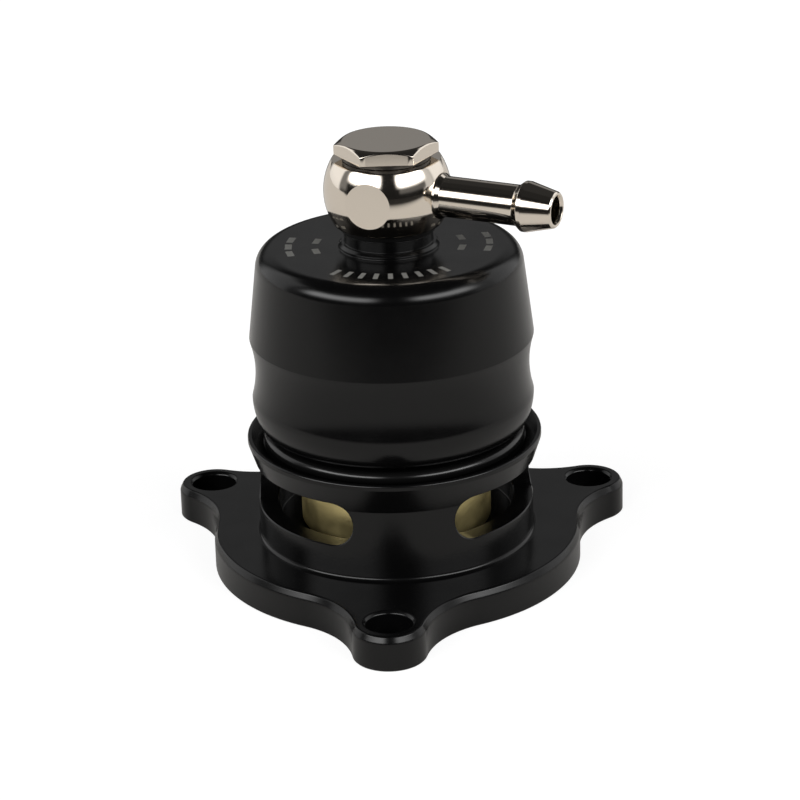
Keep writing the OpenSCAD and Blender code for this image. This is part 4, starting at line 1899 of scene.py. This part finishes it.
    def _floor_pattern(self, tree: Tree, effects: Effects) -> bpy.types.NodeSocket:
        """How bright the floor is in reflections: dark beyond its front edge and behind the object.

        Args:
            tree: the floor's tree.
            effects: the shared node groups.

        Returns:
            The brightness, from nought to one.
        """
        place = tree.add("ShaderNodeTexCoord")
        split = tree.add("ShaderNodeSeparateXYZ")
        tree.link(place.outputs["Object"], split.inputs[0])
        east, north, _ = split.outputs
        azimuth = self._azimuth(tree, east, north)
        turn = math.radians(self.turn)
        ahead = tree.math("SUBTRACT", tree.math("MULTIPLY", east, math.sin(turn)),
                          tree.math("MULTIPLY", north, math.cos(turn)))
        back, front, fade = (v * MM for v in (self.floor_back, self.floor_front, self.floor_fade))
        near = self._window(tree, effects, ahead, back, front, fade)
        near = tree.math("ADD", tree.math("MULTIPLY", near, 1 - self.floor_beyond), self.floor_beyond)
        side = self._window(tree, effects, azimuth, -self.floor_side, self.floor_side, self.floor_side_soft)
        return tree.math("MULTIPLY", tree.math("MULTIPLY", side, self.floor_level), near)

    def _world(self, effects: Effects) -> None:
        """White for the camera, and for all else a pale studio with soft boxes and dark flags.

        Args:
            effects: the shared node groups.
        """
        world = bpy.data.worlds.new("studio")
        bpy.context.scene.world = world
        world.use_nodes = True
        tree = Tree(world.node_tree)
        glow = world.node_tree.nodes["Background"]
        glow.inputs["Color"].default_value = WHITE
        way = tree.add("ShaderNodeTexCoord")
        split = tree.add("ShaderNodeSeparateXYZ")
        tree.link(way.outputs["Generated"], split.inputs[0])
        east, north, up = split.outputs
        azimuth = self._azimuth(tree, east, north)
        elevation = tree.math("MULTIPLY", tree.math("ARCSINE", up), 180 / math.pi)
        path = tree.add("ShaderNodeLightPath")
        extra = tree.math("MULTIPLY", self._mirrored(tree, path), self.white - self.plain)
        total = tree.math("ADD", extra, self.plain)
        for panel in self.panels:
            share = tree.math(
                "MULTIPLY",
                self._window(tree, effects, azimuth, panel.low_azimuth, panel.high_azimuth, panel.soft),
                self._window(tree, effects, elevation, panel.low_elevation, panel.high_elevation, panel.soft))
            rest = tree.math("MULTIPLY", total, tree.math("SUBTRACT", 1.0, share))
            total = tree.math("ADD", rest, tree.math("MULTIPLY", share, panel.level))
        seen = path.outputs["Is Camera Ray"]
        hidden = tree.math("MULTIPLY", total, tree.math("SUBTRACT", 1.0, seen))
        tree.link(tree.math("ADD", hidden, tree.math("MULTIPLY", seen, self.white)), glow.inputs["Strength"])

    def _camera(self) -> None:
        """Camera at the photograph's place."""
        data = bpy.data.cameras.new("camera")
        data.sensor_width = self.sensor
        data.lens = self.sensor * self.focal_px / self.frame_px
        data.clip_start, data.clip_end = (v * MM for v in self.clip)
        th, ps, ro = (math.radians(v) for v in (self.pitch, self.yaw, self.roll))
        right = Vector((math.cos(ps), -math.sin(ps), 0))
        ahead = Vector((math.sin(ps) * math.cos(th), math.cos(ps) * math.cos(th), -math.sin(th)))
        above = right.cross(ahead)
        across = right * math.cos(ro) + above * math.sin(ro)
        upward = above * math.cos(ro) - right * math.sin(ro)
        place = Matrix((across, upward, -ahead)).transposed().to_4x4()
        place.translation = Vector((0, -self.distance, self.rise)) * MM
        camera = bpy.data.objects.new("camera", data)
        camera.matrix_world = Matrix.Rotation(math.radians(self.turn), 4, "Z") @ place
        bpy.context.scene.collection.objects.link(camera)
        bpy.context.scene.camera = camera


# The whole valve


PAD_WASHER = Washer("pad_washer_shown", radius=6.8, low_z=51.4, high_z=52.5, edge=Edge.SOFT)
# The head washer's near-black finish is painted shade of the gap under the bolt's head; the washer itself is real.
HEAD_WASHER = Washer("head_washer_shown", radius=6.3, low_z=61.94, high_z=62.54, edge=Edge.KEEN)
MARKS = (
    TopMarks("marks_front", radius=13.6, middle=-87, sweep=68, count=9, size=(2.2, 0.7)),
    TopMarks("marks_left", radius=14.4, middle=182, sweep=24, count=3, size=(1.0, 2.2)),
    TopMarks("marks_left_in", radius=10.6, middle=182, sweep=24, count=2, size=(1.0, 2.2)),
    TopMarks("marks_right", radius=14.4, middle=3, sweep=24, count=3, size=(1.0, 2.2)),
    TopMarks("marks_right_in", radius=10.6, middle=3, sweep=24, count=2, size=(1.0, 2.2)),
)


def build_valve(effects: Effects) -> None:
    """Builds and seats every piece of the valve.

    Args:
        effects: the shared node groups.
    """
    paint = Paint(effects)
    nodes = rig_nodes()
    banjo = Banjo()
    paint.seat(BaseFlange().build(), Body.HOUSING, Slot.BASE, "base_flange")
    paint.seat(Cap().build(), Body.HOUSING, Slot.CAP, "cap")
    paint.seat(RingSeal().build(), Body.HOUSING, Slot.RUBBER, "cap_seal")
    paint.seat(Piston().build(), Body.PISTON, Slot.BRASS, "piston")
    paint.seat(PAD_WASHER.build(), Body.HOUSING, Slot.PAD, "pad_washer")
    paint.seat(HEAD_WASHER.build(), Body.HOUSING, Slot.WASHER, "head_washer")
    paint.seat(banjo.build(), Body.BANJO, Slot.NICKEL, "banjo_ring")
    paint.seat(HoseNipple().build(banjo), Body.BANJO, Slot.NICKEL, "hose_nipple")
    paint.seat(BanjoBolt().build(), Body.HOUSING, Slot.NICKEL, "banjo_bolt")
    kept = {"flange_seal": Slot.RUBBER, "piston_seal": Slot.RUBBER, "guide_ring": Slot.GUIDE}
    for node, slot in kept.items():
        paint.give(nodes[node], slot)
        LOG.info("%s: the frame's own node", node)
    coil = Spring()
    spring = paint.seat(coil.build(paint.by_slot[Slot.SPRING]), Body.HOUSING, Slot.SPRING, "spring")
    top, length = coil.high + coil.wire / 2, coil.high - coil.low + coil.wire
    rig.squash(spring, "piston_slide", axis=(0, 0, 1), anchor=(0, 0, top * MM), keep=1 - coil.travel / length)
    for marks in MARKS:
        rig.ride(marks.build(paint.mark), Body.HOUSING.value)
        LOG.info("%s: %d dashes", marks.name, marks.count)


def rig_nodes() -> dict[str, bpy.types.Object]:
    """The frame's own nodes by name."""
    return {o["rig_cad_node"]: o for o in bpy.context.scene.objects if "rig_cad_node" in o}


def plain(box: tuple[Vector, Vector]) -> list[list[float]]:
    """A box as plain lists."""
    return [list(corner) for corner in box]


def main() -> None:
    """Loads the frame, builds the valve and the studio, and writes the sizes."""
    logging.basicConfig(level=logging.INFO, format="%(name)s: %(message)s")
    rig.load()
    frame_box = plain(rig.bounds())
    effects = Effects()
    build_valve(effects)
    Studio().build(effects)
    with open(SIZE_FILE, "w", encoding="utf-8") as file:
        json.dump({"frame": frame_box, "shown": plain(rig.bounds())}, file, indent=1)


if __name__ == "__main__":
    main()
